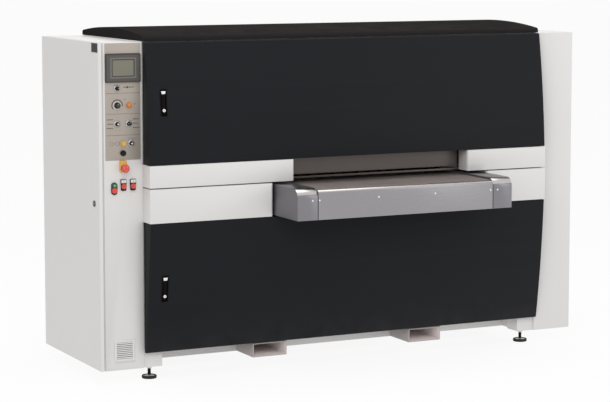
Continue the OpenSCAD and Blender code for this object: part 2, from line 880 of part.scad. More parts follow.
side_lug_h = 8;
module side_lug(z) {
    z0 = z + side_hinge_h / 2 + hinge_rise;
    difference() {
        box_at([-x_out + skin - over, side_axis_y - side_hinge_r, z0],
            [side_axis_x + side_hinge_r, side_axis_y + side_hinge_r, z0 + side_lug_h]);
        translate([side_axis_x, side_axis_y, z0 - over]) cylinder(r = side_pin_r + run_fit,
            h = side_lug_h + 2 * over);
    }
}

module side_hinge(z) {
    z0 = z - side_hinge_h / 2;
    translate([side_axis_x, side_axis_y, z0]) cylinder(r = side_hinge_r, h = side_hinge_h);
    box_at([side_axis_x, side_axis_y - side_arm_half, z0], [cabinet_x, side_axis_y + side_arm_half,
        z0 + side_hinge_h]);
    translate([side_axis_x, side_axis_y, z0])
        cylinder(r = side_pin_r, h = side_hinge_h + hinge_rise + side_lug_h + pin_proud);
}

cam_l = 66;
cam_w = 18;
cam_t = 4;
cam_gap = 1;
lock_proud = 3;
barrel_share = 0.7;
// Quarter-turn lock: head, barrel and the cam behind the door
module cabinet_lock() {
    x0 = -x_out;
    x_cam = cabinet_x + skin + cam_gap;
    color([0.1, 0.1, 0.1]) {
        difference() {
            round_x(lock_r, x0 - lock_proud, x0, lock_y, lock_z);
            box_at([x0 - lock_proud - over, lock_y - cam_w / 4, lock_z - cam_w / 4], [x0 - over,
                lock_y + cam_w / 4, lock_z + cam_w / 4]);
        }
        round_x(lock_r * barrel_share, x0, x_cam + cam_t, lock_y, lock_z);
        box_at([x_cam, lock_y - cam_w / 2, lock_z - cam_l], [x_cam + cam_t, lock_y + cam_w / 2,
            lock_z + cam_w / 2]);
    }
}

module door_hinge_pins() {
    color("silver") {
        for (z = concat(hood_hinge_z, lower_hinge_z)) fixed_hinge(z);
        for (z = side_hinge_z) side_hinge(z);
    }
}

// Conveyor tables: written for the front, and mirrored for the rear

// Outline of a side box in Y and Z, with its bent front edge
module side_box_outline(inset) {
    bend = side_box_bend_r - inset;
    front = -y_table + inset;
    top = pass_h + side_box_up - inset;
    polygon(concat([[-y_table_end - inset, z_table + inset], [front, z_table + inset]],
        arc_points([front + bend, top - bend], bend, 180, 90), [[-y_table_end - inset, top]]));
}

wall = 3;
bed_end = 8;
bracket_d = tube;
module table_frame(nose_lap) {
    box_xs = [[x_box_out[0], x_box_in[0]], [x_box_in[1], x_box_out[1]]];
    difference() {
        union() {
            for (xs = box_xs) difference() {
                along_x(xs[0], xs[1]) side_box_outline(0);
                along_x(xs[0] + wall, xs[1] - wall) side_box_outline(wall);
            }
            box_at([x_box_in[0] - wall, -y_nose + nose_roller_r + bed_end, z_bed - wall],
                [x_box_in[1] + wall, -y_drive - drive_roller_r - bed_end, z_bed]);
            box_at([x_box_in[0] - wall, -y_table + nose_t - nose_lap, z_table],
                [x_box_in[1] + wall, -y_table_end, z_table + wall]);
            for (xs = box_xs)
                box_at([xs[0] + side_box_w / 4, -y_upright, z_table - beam_gap],
                    [xs[1] - side_box_w / 4, -y_upright + bracket_d, z_table + wall / 2]);
        }
        round_x(roller_shaft_r + run_fit, x_box_in[0] - wall - over, x_box_in[0] + over, -y_nose, z_nose);
        round_x(roller_shaft_r + run_fit, x_box_in[1] - over, x_box_in[1] + wall + over, -y_nose, z_nose);
        round_x(roller_shaft_r + run_fit, x_box_in[0] - wall - over, x_box_in[0] + over, -y_drive, z_drive);
        round_x(roller_shaft_r + run_fit, x_box_in[1] - over, x_box_in[1] + wall + over, -y_drive, z_drive);
    }
}

z_bed = pass_h - belt_t - free_gap;
beam_gap = z_table - beam_mid - tube;

nose_sweep = 78;
// The bent plate across the nose, from the underside up to the belt
module nose_plate() {
    c = [-y_table + nose_bend_r, pass_h - nose_bend_r];
    along_x(x_belt[0], x_belt[1])
        polygon(concat([[-y_table, z_table]], arc_points(c, nose_bend_r, 180, 180 - nose_sweep),
            arc_points(c, nose_bend_r - nose_t, 180 - nose_sweep, 180), [[-y_table + nose_t, z_table]]));
}

// Loop of a conveyor belt round its two rollers, in Y and Z
module belt_outline(extra) {
    a = [-y_nose, z_nose];
    b = [-y_drive, z_drive];
    lean = atan2(b[1] - a[1], b[0] - a[0]);
    polygon(concat(arc_points(a, nose_roller_r + free_gap + extra, 90, 270 + 2 * lean),
        arc_points(b, drive_roller_r + free_gap + extra, 2 * lean - 90, 90)));
}

module belt_loop() {
    along_x(x_belt[0], x_belt[1]) difference() {
        belt_outline(belt_t);
        belt_outline(0);
    }
}

roller_short = 1;
module roller(r, y, z) {
    round_x(r, x_belt[0] + roller_short, x_belt[1] - roller_short, y, z);
    round_x(roller_shaft_r, x_box_in[0] - wall, x_box_in[1] + wall, y, z);
}

module infeed_side_boxes() {
    color("silver") table_frame(0);
}

module infeed_nose_plate() {
    color("silver") nose_plate();
}

module infeed_belt() {
    color([0.43, 0.38, 0.37]) belt_loop();
}

module infeed_nose_roller() {
    color("silver") roller(nose_roller_r, -y_nose, z_nose);
}

module infeed_drive_roller() {
    color("dimgray") roller(drive_roller_r, -y_drive, z_drive);
}

module outfeed_table() {
    color("silver") mirror([0, 1, 0]) {
        table_frame(nose_t / 2);
        nose_plate();
    }
}

module outfeed_belt() {
    color([0.43, 0.38, 0.37]) mirror([0, 1, 0]) belt_loop();
}

module outfeed_nose_roller() {
    color("silver") roller(nose_roller_r, y_nose, z_nose);
}

module outfeed_drive_roller() {
    color("dimgray") roller(drive_roller_r, y_drive, z_drive);
}

// Grinding units

rim_t = 13;
web_t = 14;
hub_r = 38;
web_hole_r = 26;
web_holes = 6;
// A pulley on its shaft: hub, web with lightening holes, rim
module pulley(x, z, shaft_back) {
    half = pulley_w / 2;
    translate([x, 0, z]) rotate([-90, 0, 0]) difference() {
        rotate_extrude()
            polygon([[0, -plate_y - plate_t], [shaft_r, -plate_y - plate_t], [shaft_r, -half], [hub_r,
                -half],
                [hub_r, -web_t / 2], [pulley_r - rim_t, -web_t / 2], [pulley_r - rim_t, -half],
                    [pulley_r, -half],
                [pulley_r, half], [pulley_r - rim_t, half], [pulley_r - rim_t, web_t / 2], [hub_r,
                    web_t / 2],
                [hub_r, half], [shaft_r, half], [shaft_r, shaft_back], [0, shaft_back]]);
        for (i = [0 : web_holes - 1])
            rotate([0, 0, i * 360 / web_holes]) translate([(hub_r + pulley_r - rim_t) / 2, 0, -web_t])
                cylinder(r = web_hole_r, h = 2 * web_t);
    }
}

// Racetrack outline round two pulleys in X and Z, at a distance from their axes
module track(xs, r) {
    for (x = xs) translate([x, 0]) circle(r = r);
    translate([xs[0], -r]) square([xs[1] - xs[0], 2 * r]);
}

block_sink = 2;
block_bevel = 4;
// One grinding block, standing on the belt, seen from the side
module block_outline() {
    polygon([[-block_l / 2, -block_sink], [block_l / 2, -block_sink], [block_l / 2,
        block_h - block_bevel / 2],
        [block_l / 2 - block_bevel, block_h], [block_bevel - block_l / 2, block_h],
        [-block_l / 2, block_h - block_bevel / 2]]);
}

// Place and turn of a block at a distance along the belt, from the left end of the top run
function on_track(s, xs, r) =
    let (run = xs[1] - xs[0], bend = PI * r)
    s < run ? [xs[0] + s, r, 0] :
    s < run + bend ? let (a = (s - run) / r * 180 / PI) [xs[1] + r * sin(a), r * cos(a), -a] :
    s < 2 * run + bend ? [xs[1] - (s - run - bend), -r, 180] :
    let (a = (s - 2 * run - bend) / r * 180 / PI) [xs[0] - r * sin(a), -r * cos(a), 180 - a];

// A carrier belt with grinding blocks all round it
module grinding_belt(xs, z) {
    r_in = pulley_r + free_gap;
    r_out = r_in + carrier_t;
    whole = 2 * (xs[1] - xs[0]) + 2 * PI * r_out;
    count = floor(whole / block_pitch);
    translate([0, pulley_w / 2, z]) rotate([90, 0, 0]) linear_extrude(height = pulley_w) difference() {
        track(xs, r_out);
        track(xs, r_in);
    }
    for (i = [0 : count - 1]) {
        at = on_track((i + 0.5) * whole / count, xs, r_out);
        translate([at[0], block_w / 2, z + at[1]]) rotate([90, 0, 0])
            linear_extrude(height = block_w) rotate([0, 0, at[2]]) block_outline();
    }
}

module shaft_bores(xs, z) {
    for (x = xs)
        round_y(shaft_r + run_fit, -plate_y - plate_t - over, plate_y + plate_t + over, x, z);
}

light_r = 70;
light_count = 4;
module light_holes(xs, z) {
    for (i = [1 : light_count])
        if (i != (light_count + 1) / 2)
            round_y(light_r, -plate_y - plate_t - over, plate_y + plate_t + over,
                xs[0] + (xs[1] - xs[0]) * i / (light_count + 1), z);
}

unit_plate_h = 277;
unit_plate_up = 20;
carriage_h = 200;
carriage_w = 60;
carriage_wall = 13;
screw_top = 30;
arm_h = 120;
arm_end = 50;
// Upper unit: two long plates, carriages on the guide columns, lifting screws and roller arms
module upper_unit_frame() {
    z0 = pass_h + pass_gap + unit_plate_up;
    color("darkgray") {
        difference() {
            union() {
                front_and_rear() box_at([-column_x - carriage_w / 2, -plate_y - plate_t, z0],
                    [column_x + carriage_w / 2, -plate_y, z0 + unit_plate_h]);
                both_sides() front_and_rear()
                    box_at([-column_x - carriage_w / 2, -column_y - column_r - carriage_wall,
                        z_upper - carriage_h / 2],
                        [-column_x + carriage_w / 2, -plate_y - plate_t / 2, z_upper + carriage_h / 2]);
                for (x = arm_x) {
                    box_at([x - arm_t / 2, -guard_y + skin, arm_z], [x + arm_t / 2,
                        -plate_y - plate_t / 2, arm_z + arm_h]);
                    box_at([x - arm_t / 2, plate_y + plate_t / 2, arm_z], [x + arm_t / 2,
                        y_press + arm_end, arm_z + arm_h]);
                }
                for (x = [-column_x, table_shift, column_x])
                    round_y(tie_r, -plate_y - plate_t / 2, plate_y + plate_t / 2, x, z_upper);
                both_sides() translate([-column_x, 0, z_upper])
                    cylinder(r = screw_r, h = z_roof - screw_top - z_upper);
            }
            shaft_bores(upper_x, z_upper);
            light_holes(upper_x, z_upper);
            both_sides() front_and_rear() translate([-column_x, -column_y, z_upper - carriage_h / 2 - over])
                cylinder(r = column_r + run_fit, h = carriage_h + 2 * over);
            for (y = [-y_press, y_press], x = arm_x)
                round_x(press_shaft_r + run_fit, x - arm_t / 2 - over, x + arm_t / 2 + over, y, z_press);
        }
    }
}

foot_h = 40;
side_clear = 5;
shelf_clear = 9;
lower_tie_left = 80;
module lower_unit_frame() {
    z0 = member_low + tube;
    color("darkgray") difference() {
        union() {
            front_and_rear() box_at([-x_in + tube + side_clear, -plate_y - plate_t, z0],
                [x_in - tube - side_clear, -plate_y, shelf_z - shelf_t - shelf_clear]);
            front_and_rear() box_at([-x_in + tube / 2, -plate_y - plate_t, z0], [x_in - tube / 2,
                -plate_y, z0 + foot_h]);
            for (x = [-column_x, table_shift - lower_tie_left, column_x])
                round_y(tie_r, -plate_y - plate_t / 2, plate_y + plate_t / 2, x, z_lower);
        }
        shaft_bores(lower_x, z_lower);
        light_holes(lower_x, z_lower);
    }
}

flange_r = 78;
flange_t = 14;
motor_fit = 45;
fin_count = 16;
fin_t = 3;
fin_h = 6;
box_side = 90;
box_h = 40;
// Motor on the rear of a drive pulley: flange, finned body, fan cowl and terminal box
module motor(x, z) {
    y0 = plate_y + plate_t;
    y1 = y0 + motor_l;
    difference() {
        union() {
            round_y(flange_r, y0, y0 + flange_t, x, z);
            round_y(motor_r - fin_h, y0, y1 - flange_t, x, z);
            round_y(motor_r, y1 - 3 * flange_t, y1, x, z);
            for (i = [0 : fin_count - 1])
                translate([x, 0, z]) rotate([0, (i + 0.5) * 360 / fin_count, 0])
                    box_at([motor_r / 2, y0 + flange_t - over, -fin_t / 2],
                        [motor_r - fin_t / 2, y1 - 3 * flange_t + over, fin_t / 2]);
            box_at([x - box_side / 2, y0 + 2 * flange_t, z + motor_r / 2],
                [x + box_side / 2, y0 + 2 * flange_t + box_side, z + motor_r + box_h / 2]);
        }
        round_y(shaft_r + run_fit, y0 - over, y0 + motor_fit, x, z);
    }
}

module upper_motor() {
    color("slategray") motor(upper_x[0], z_upper);
}

module lower_motor() {
    color("slategray") motor(lower_x[0], z_lower);
}

shaft_end = 5;
shaft_in = plate_y + plate_t + motor_fit - shaft_end;
module upper_drive_pulley() {
    color("silver") pulley(upper_x[0], z_upper, shaft_in);
}

module upper_idler_pulley() {
    color("silver") pulley(upper_x[1], z_upper, plate_y + plate_t);
}

module upper_grinding_belt() {
    color("saddlebrown") grinding_belt(upper_x, z_upper);
}

module lower_drive_pulley() {
    color("silver") pulley(lower_x[0], z_lower, shaft_in);
}

module lower_idler_pulley() {
    color("silver") pulley(lower_x[1], z_lower, plate_y + plate_t);
}

module lower_grinding_belt() {
    color("saddlebrown") grinding_belt(lower_x, z_lower);
}

module pressure_roller(y) {
    round_x(press_r, x_belt[0] + roller_short, x_belt[1] - roller_short, y, z_press);
    round_x(press_shaft_r, arm_x[0] - arm_t / 2, arm_x[1] + arm_t / 2, y, z_press);
}

module pressure_roller_front() {
    color("dimgray") pressure_roller(-y_press);
}

module pressure_roller_rear() {
    color("dimgray") pressure_roller(y_press);
}

// Control panel

module control_plate() {
    color([0.72, 0.68, 0.65])
        box_at([plate_x, -y_plate, plate_z], [plate_x + plate_w, -y_face, plate_z + plate_h]);
}

terminal_t = 11;
bezel_step = 2.5;
// The terminal's bezel has a raised rim, a step and the screen set into it
module operator_terminal() {
    x = plate_x + plate_w / 2;
    z = plate_z + plate_h * terminal_share;
    color([0.4, 0.38, 0.38]) difference() {
        translate([x, -y_plate - terminal_t, z]) rounded_plate(terminal_w, terminal_h, terminal_t,
            bezel_step * 2);
        box_at([x - screen_w / 2, -y_plate - terminal_t - over, z - screen_h / 2],
            [x + screen_w / 2, -y_plate - terminal_t + bezel_step, z + screen_h / 2]);
    }
}

// Place on the front from shares of the control plate
function on_plate(shares) = [plate_x + plate_w * shares[0], plate_z + plate_h * shares[1]];

// Places below the plate: a share of the pillar's width and a drop from the plate
function below_plate(share, drop) = [-x_out + pillar_w * share, plate_z - drop];

module ring_at(at, r, y, h) {
    difference() {
        round_y(r + free_gap + ring_w, -y - h, -y, at[0], at[1]);
        round_y(r + free_gap, -y - h - over, -y + over, at[0], at[1]);
    }
}

cap_end = 0.5;
cap_rest = press_travel + cap_end;
// A round cap that travels inwards
module round_cap(at, r, y, h) {
    round_y(r, -y - cap_rest - h, -y - cap_rest, at[0], at[1]);
}

// A selector: round base and a bar across it, turned to its position
module selector(at, turn) {
    translate([at[0], -y_plate - free_gap, at[1]]) rotate([0, turn, 0]) {
        round_y(button_r, -cap_h, 0, 0, 0);
        box_at([-button_r / 4, -2 * cap_h, -button_r], [button_r / 4, -cap_h / 2, button_r]);
    }
}

module mode_selector() {
    color([0.1, 0.1, 0.1]) selector(on_plate(mode_shares), 70);
}

knob_grips = 12;
grip_share = 0.8;
knob_caps_share = 2.2;
module speed_knob() {
    at = on_plate(knob_shares);
    color([0.15, 0.15, 0.15]) translate([at[0], -y_plate - free_gap, at[1]]) {
        round_y(knob_r, -cap_h / 2, 0, 0, 0);
        difference() {
            round_y(knob_r * grip_share, -knob_caps_share * cap_h, -cap_h / 4, 0, 0);
            for (i = [0 : knob_grips - 1])
                rotate([0, i * 360 / knob_grips, 0])
                    round_y(knob_r / 8, -knob_caps_share * cap_h - over, over, knob_r * grip_share, 0);
        }
    }
}

module lamp_button() {
    color("orange") round_cap(on_plate(lamp_shares), button_r, y_plate, cap_h);
}

module left_selector() {
    color([0.85, 0.85, 0.85]) selector(on_plate(left_shares), 80);
}

module right_selector() {
    color([0.1, 0.1, 0.1]) selector(on_plate(right_shares), 80);
}

module reset_button() {
    color("gold") round_cap(on_plate(reset_shares), button_r, y_plate, cap_h);
}

module feed_selector() {
    color([0.1, 0.1, 0.1]) selector(on_plate(feed_shares), 80);
}

module black_button() {
    color([0.1, 0.1, 0.1]) round_cap(on_plate(black_shares), button_r, y_plate, cap_h);
}

stop_turn_z = stop_body_h / 2 - stop_body_w / 2;
// Fixed rings, the boxes of the stop buttons and the box under the emergency stop
module button_holders() {
    color([0.2, 0.2, 0.2]) {
        for (at = [on_plate(lamp_shares), on_plate(reset_shares), on_plate(black_shares)])
            ring_at(at, button_r, y_plate, ring_h + press_travel);
        for (at = [on_plate(mode_shares), on_plate(left_shares), on_plate(right_shares),
            on_plate(feed_shares)])
            ring_at(at, button_r, y_plate, ring_h);
        ring_at(on_plate(knob_shares), knob_r, y_plate, ring_h / 2);
        for (i = [1, 2]) stop_holder(below_plate(stop_place_shares[i], stop_drop));
        double_holder(below_plate(stop_place_shares[0], double_drop));
    }
    color("gold") estop_box(below_plate(estop_share, estop_drop));
}

module stop_holder(at) {
    difference() {
        translate([at[0], -y_face - ring_h - press_travel, at[1]])
            rounded_plate(stop_body_w, stop_body_h, ring_h + press_travel, ring_w);
        round_y(button_r + free_gap, -y_face - stop_body_h, -y_face + over, at[0], at[1] - stop_turn_z);
        translate([at[0], -y_face - ring_h - press_travel - over, at[1] + stop_turn_z])
            rounded_plate(stop_body_w - 2 * ring_w, stop_body_w - 3 * ring_w, 2 * over, ring_w / 2);
    }
}

module double_holder(at) {
    difference() {
        translate([at[0], -y_face - ring_h - press_travel, at[1]])
            rounded_plate(stop_body_w, stop_body_h, ring_h + press_travel, stop_body_w / 3);
        for (side = [-1, 1])
            translate([at[0], -y_face - stop_body_h, at[1] + side * stop_turn_z])
                rounded_plate(start_side + 2 * free_gap, start_side + 2 * free_gap, stop_body_h + over,
                    ring_w);
    }
}

estop_seat_r = 15;
module estop_box(at) {
    difference() {
        translate([at[0], -y_face - estop_box_d, at[1]]) rounded_plate(estop_box_w, estop_box_h,
            estop_box_d, ring_w);
        round_y(estop_seat_r + free_gap, -y_face - estop_box_d - over, -y_face + over, at[0], at[1]);
    }
}

estop_head_t = 14;
// Mushroom head on its stem
module estop_head() {
    at = below_plate(estop_share, estop_drop);
    y_head = y_face + estop_box_d + estop_travel + cap_end;
    color("red") translate([at[0], -y_head, at[1]]) rotate([90, 0, 0]) rotate_extrude()
        polygon(concat([[0, -estop_box_d], [estop_seat_r, -estop_box_d], [estop_seat_r, 0], [estop_r, 0]],
            [for (i = [0 : arc_steps]) let (a = 90 * i / arc_steps)
                [estop_r * cos(a), estop_head_t / 2 + estop_head_t / 2 * sin(a)]]));
}

module square_cap(at, side) {
    translate([at[0], -y_face - cap_rest - cap_h, at[1] + side * stop_turn_z])
        rounded_plate(start_side, start_side, cap_h, ring_w);
}

module start_button() {
    color("green") square_cap(below_plate(stop_place_shares[0], double_drop), 1);
}

module stop_button_left() {
    color("red") square_cap(below_plate(stop_place_shares[0], double_drop), -1);
}

module stop_cap(i) {
    at = below_plate(stop_place_shares[i], stop_drop);
    color("red") round_cap([at[0], at[1] - stop_turn_z], button_r, y_face, cap_h);
}

module stop_button_middle() {
    stop_cap(1);
}

module stop_button_right() {
    stop_cap(2);
}

// Mounting plate in the cabinet, with its rails, drives and terminals

board_gap = 12;
board_t = 3;
board_y = 330;
board_low = 160;
board_high = 240;
board_z = [z_base + board_low, z_top - board_high];
stud_in = 40;
stud_r = 10;
rail_t = 8;
rail_half_h = 17;
rail_end = 30;
rail_shares = [0.12, 0.38, 0.62, 0.86];
device_d = 70;
device_half_h = 60;
device_gap = 10;
devices = [3, 4, 5, 6];
module mounting_plate() {
    x1 = -x_in - skin - board_gap;
    x0 = x1 - board_t;
    board_h = board_z[1] - board_z[0];
    row = 2 * (board_y - rail_end);
    color("silver") {
        box_at([x0, -board_y, board_z[0]], [x1, board_y, board_z[1]]);
        for (y = [-board_y + stud_in, board_y - stud_in], z = [board_z[0] + stud_in, board_z[1] - stud_in])
            round_x(stud_r, x1, -x_in - skin, y, z);
        for (share = rail_shares)
            box_at([x0 - rail_t, -board_y + rail_end, board_z[0] + board_h * share - rail_half_h],
                [x0, board_y - rail_end, board_z[0] + board_h * share + rail_half_h]);
    }
    color("dimgray") for (i = [0 : len(devices) - 1], j = [0 : devices[i] - 1])
        box_at([x0 - rail_t - device_d, -row / 2 + j * row / devices[i],
            board_z[0] + board_h * rail_shares[i] - device_half_h],
            [x0 - rail_t, -row / 2 + (j + 1) * row / devices[i] - device_gap,
                board_z[0] + board_h * rail_shares[i] + device_half_h]);
}

base_frame();
fork_pockets();
leveling_feet();
portal_frame();
lift_columns();
left_housing();
right_housing();
roof_cover();
rear_covers();
band_panels();
cable_gland();
throat_guard();
hood_door();
hood_latch_dish();
hood_latch_lever();
lower_door();
lower_latch_dish();
lower_latch_lever();
cabinet_door();
cabinet_lock();
door_hinge_pins();
infeed_side_boxes();
infeed_nose_plate();
infeed_belt();
infeed_nose_roller();
infeed_drive_roller();
outfeed_table();
outfeed_belt();
outfeed_nose_roller();
outfeed_drive_roller();
upper_unit_frame();
upper_motor();
upper_drive_pulley();
upper_idler_pulley();
upper_grinding_belt();
pressure_roller_front();
pressure_roller_rear();
lower_unit_frame();
lower_motor();
lower_drive_pulley();
lower_idler_pulley();
lower_grinding_belt();
control_plate();
operator_terminal();
mode_selector();
speed_knob();
lamp_button();
left_selector();
right_selector();
reset_button();
feed_selector();
black_button();
button_holders();
estop_head();
start_button();
stop_button_left();
stop_button_middle();
stop_button_right();
vent_grille();
mounting_plate();
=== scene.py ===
# Sheet metal deburring machine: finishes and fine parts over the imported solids
import bpy
import numpy as np
from math import atan, cos, pi, radians, sin, sqrt
from mathutils import Matrix


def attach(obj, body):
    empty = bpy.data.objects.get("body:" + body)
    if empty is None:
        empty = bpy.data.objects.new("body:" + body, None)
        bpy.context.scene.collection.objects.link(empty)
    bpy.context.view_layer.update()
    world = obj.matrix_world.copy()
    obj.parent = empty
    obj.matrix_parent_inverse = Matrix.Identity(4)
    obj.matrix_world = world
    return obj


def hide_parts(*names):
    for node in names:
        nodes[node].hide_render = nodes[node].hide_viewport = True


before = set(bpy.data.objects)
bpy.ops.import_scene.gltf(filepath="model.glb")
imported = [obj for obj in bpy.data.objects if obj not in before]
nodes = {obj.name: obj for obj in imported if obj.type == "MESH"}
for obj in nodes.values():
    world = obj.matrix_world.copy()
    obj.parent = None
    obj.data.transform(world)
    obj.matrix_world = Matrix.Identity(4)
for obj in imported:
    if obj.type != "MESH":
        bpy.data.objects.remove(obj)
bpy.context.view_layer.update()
mm = 0.001
print("loaded", len(nodes), "solids")


def assign(thing, **settings):
    for key, value in settings.items():
        setattr(thing, key, value)
    return thing


def addObject(name, data):
    obj = bpy.data.objects.new(name, data)
    bpy.context.scene.collection.objects.link(obj)
    return obj


def unit(v):
    # scaled to length 1; a zero vector stays as it is
    return v / np.maximum(np.linalg.norm(v, axis=-1, keepdims=True), 1e-12)


# Camera and light

cameraSetup = {
    "place": (-4.906, -9.846, 2.16), "yaw": 26.405, "pitch": 6.0,
    "lens": 122.84, "sensor": 36, "shift": (-0.008, -0.0661), "farClip": 200,
}
lampSetup = {
    "keyLamp": {"place": (-3.9, -6.4, 4.5), "aim": (0.0, -0.3, 0.9), "size": 4.5, "power": 146},
    "fillLamp": {"place": (5.5, -6.0, 2.6), "aim": (0.2, -0.4, 0.8), "size": 4.0, "power": 36},
    "topLamp": {"place": (0.0, -0.6, 6.0), "aim": (0.0, 0.0, 1.0), "size": 5.0, "power": 96},
}


def aimAt(obj, place, target):
    # the object looks along its own -z axis and keeps its x axis level
    back = unit(np.subtract(place, target))
    right = unit(np.cross((0, 0, 1), back))
    turn = Matrix(np.stack([right, np.cross(back, right), back], 1).tolist())
    obj.matrix_world = Matrix.Translation(place) @ turn.to_4x4()


def placeCamera(setup):
    lens = assign(bpy.data.cameras.new("photoCamera"), lens=setup["lens"], sensor_width=setup["sensor"],
                  clip_end=setup["farClip"])
    lens.shift_x, lens.shift_y = setup["shift"]
    cam = bpy.context.scene.camera = addObject("photoCamera", lens)
    yaw, pitch = radians(setup["yaw"]), radians(setup["pitch"])
    ahead = np.array([sin(yaw) * cos(pitch), cos(yaw) * cos(pitch), -sin(pitch)])
    aimAt(cam, setup["place"], setup["place"] + ahead)


def addLamp(name, setup):
    lamp = assign(bpy.data.lights.new(name, "AREA"), shape="DISK", size=setup["size"], energy=setup["power"])
    aimAt(addObject(name, lamp), setup["place"], setup["aim"])


placeCamera(cameraSetup)
for lampName, lampValues in lampSetup.items():
    addLamp(lampName, lampValues)
print("camera and lamps set")


# Shader trees

class Value:
    # an output in a shader tree; sums, differences and products of values make Math nodes
    def __init__(self, socket):
        self.socket = socket

    def __add__(self, other):
        return maths("ADD", self, other)

    def __radd__(self, other):
        return maths("ADD", other, self)

    def __sub__(self, other):
        return maths("SUBTRACT", self, other)

    def __mul__(self, other):
        return maths("MULTIPLY", self, other)


def addNode(kind, inputs, tree=None, output=0, **settings):
    # where no tree is given, the node goes where its first linked value is
    tree = tree or next(v for v in inputs.values() if isinstance(v, Value)).socket.id_data
    node = assign(tree.nodes.new(kind), **settings)
    for key, value in inputs.items():
        if isinstance(value, Value):
            tree.links.new(value.socket, node.inputs[key])
        else:
            node.inputs[key].default_value = value
    return Value(node.outputs[output]) if len(node.outputs) else None


def emptyTree(owner):
    owner.use_nodes = True
    owner.node_tree.nodes.clear()
    return owner.node_tree


def linear(r, g, b):
    # sRGB bytes to linear light: below 0.04045 a straight line, above it a power of 2.4
    c = np.array([r, g, b]) / 255.0
    return tuple(np.where(c <= 0.04045, c / 12.92, ((c + 0.055) / 1.055) ** 2.4)) + (1.0,)


def maths(operation, a, b=0.0):
    return addNode("ShaderNodeMath", {0: a, 1: b}, operation=operation)


def split(vector, axis):
    return addNode("ShaderNodeSeparateXYZ", {0: vector}, output=axis)


def blendColour(factor, a, b, mode="MIX"):
    return addNode("ShaderNodeMix", {0: factor, 6: a, 7: b}, output=2, data_type="RGBA", blend_type=mode)


def tinted(colour, tone):
    # the colour times a grey around 1
    return blendColour(1.0, colour, addNode("ShaderNodeCombineColor", {0: tone, 1: tone, 2: tone}), "MULTIPLY")


def remap(value, low, high, smooth=False):
    kind = "SMOOTHSTEP" if smooth else "LINEAR"
    return addNode("ShaderNodeMapRange", {0: value, 1: low, 2: high}, interpolation_type=kind)


def noise(place, size, detail=2.0, rough=0.5, stretch=(1, 1, 1)):
    stretched = addNode("ShaderNodeVectorMath", {0: place, 1: stretch}, operation="MULTIPLY")
    values = {"Vector": stretched, "Scale": size, "Detail": detail, "Roughness": rough}
    return addNode("ShaderNodeTexNoise", values, output="Fac")


def newGroup(name, **own):
    # every skin takes a colour and a roughness, then its own values; the size of a value tells its kind of socket
    kinds = {1: "NodeSocketFloat", 3: "NodeSocketVector", 4: "NodeSocketColor"}
    group = bpy.data.node_groups.new(name, "ShaderNodeTree")
    for label, value in {"Colour": (0.5, 0.5, 0.5, 1), "Roughness": 0.5, **own}.items():
        socket = group.interface.new_socket(label, in_out="INPUT", socket_type=kinds[np.size(value)])
        socket.default_value = value
    for label, size in (("Colour", 4), ("Roughness", 1), ("Height", 1)):
        group.interface.new_socket(label, in_out="OUTPUT", socket_type=kinds[size])
    use = {socket.name: Value(socket) for socket in group.nodes.new("NodeGroupInput").outputs}
    return group, use, addNode("ShaderNodeTexCoord", {}, group, "Object")


def closeGroup(group, colour, rough, height):
    addNode("NodeGroupOutput", {"Colour": colour, "Roughness": rough, "Height": height})
    return group


def coatSkin():
    # Powder coat: a fine orange peel, soft clouds of tone, and a little dust near the floor and on ledges
    group, use, place = newGroup("coatSkin", Cloud=0.03, Peel=420.0, Dust=0.1)
    cloud, peel, speck = noise(place, 2.3, 3.0), noise(place, use["Peel"], 2.0, 0.6), noise(place, 900.0, 1.0)
    shade = 1.0 + (cloud - 0.5) * use["Cloud"] + (speck - 0.5) * (use["Cloud"] * 1.2)
    ledge = remap(split(addNode("ShaderNodeNewGeometry", {}, group, "Normal"), "Z"), 0.75, 1.0, smooth=True)
    low = remap(split(place, "Z"), 0.35, 0.02, smooth=True)
    patch = remap(noise(place, 9.0, 5.0, 0.6), 0.35, 0.75)
    dust = maths("MAXIMUM", ledge, low) * patch * use["Dust"]
    colour = blendColour(dust, tinted(use["Colour"], shade), linear(170, 163, 152))
    return closeGroup(group, colour, use["Roughness"] + (cloud - 0.5) * 0.12 + dust * 0.4, peel)


def brushedSkin():
    # Brushed sheet: long thin streaks across the sheet, broad bands of tone and a few rubbed spots
    group, use, place = newGroup("brushedSkin", Along=(1, 60, 60), Contrast=0.15)
    streak, fine = noise(place, 12.0, 4.0, 0.7, use["Along"]), noise(place, 45.0, 2.0, 0.5, use["Along"])
    band = (noise(place, 3.1, 2.0) - 0.5) * use["Contrast"]
    rubbed = remap(noise(place, 14.0, 4.0, 0.65), 0.58, 0.74, smooth=True)
    tone = 1.0 + ((streak + fine * 0.6 - 0.8) * use["Contrast"] + band)
    rough = use["Roughness"] + (streak - 0.5) * 0.25 - rubbed * 0.06
    return closeGroup(group, tinted(use["Colour"], tone), rough, streak + fine * 0.5)


def mouldedSkin():
    # Moulded or cast: fine pits over slow waves of tone
    group, use, place = newGroup("mouldedSkin", Grain=1500.0, Cloud=0.08)
    pits = noise(place, use["Grain"], 3.0, 0.6)
    tone = 1.0 + (noise(place, 26.0, 3.0) - 0.5) * use["Cloud"]
    return closeGroup(group, tinted(use["Colour"], tone), use["Roughness"] + (pits - 0.5) * 0.2, pits)


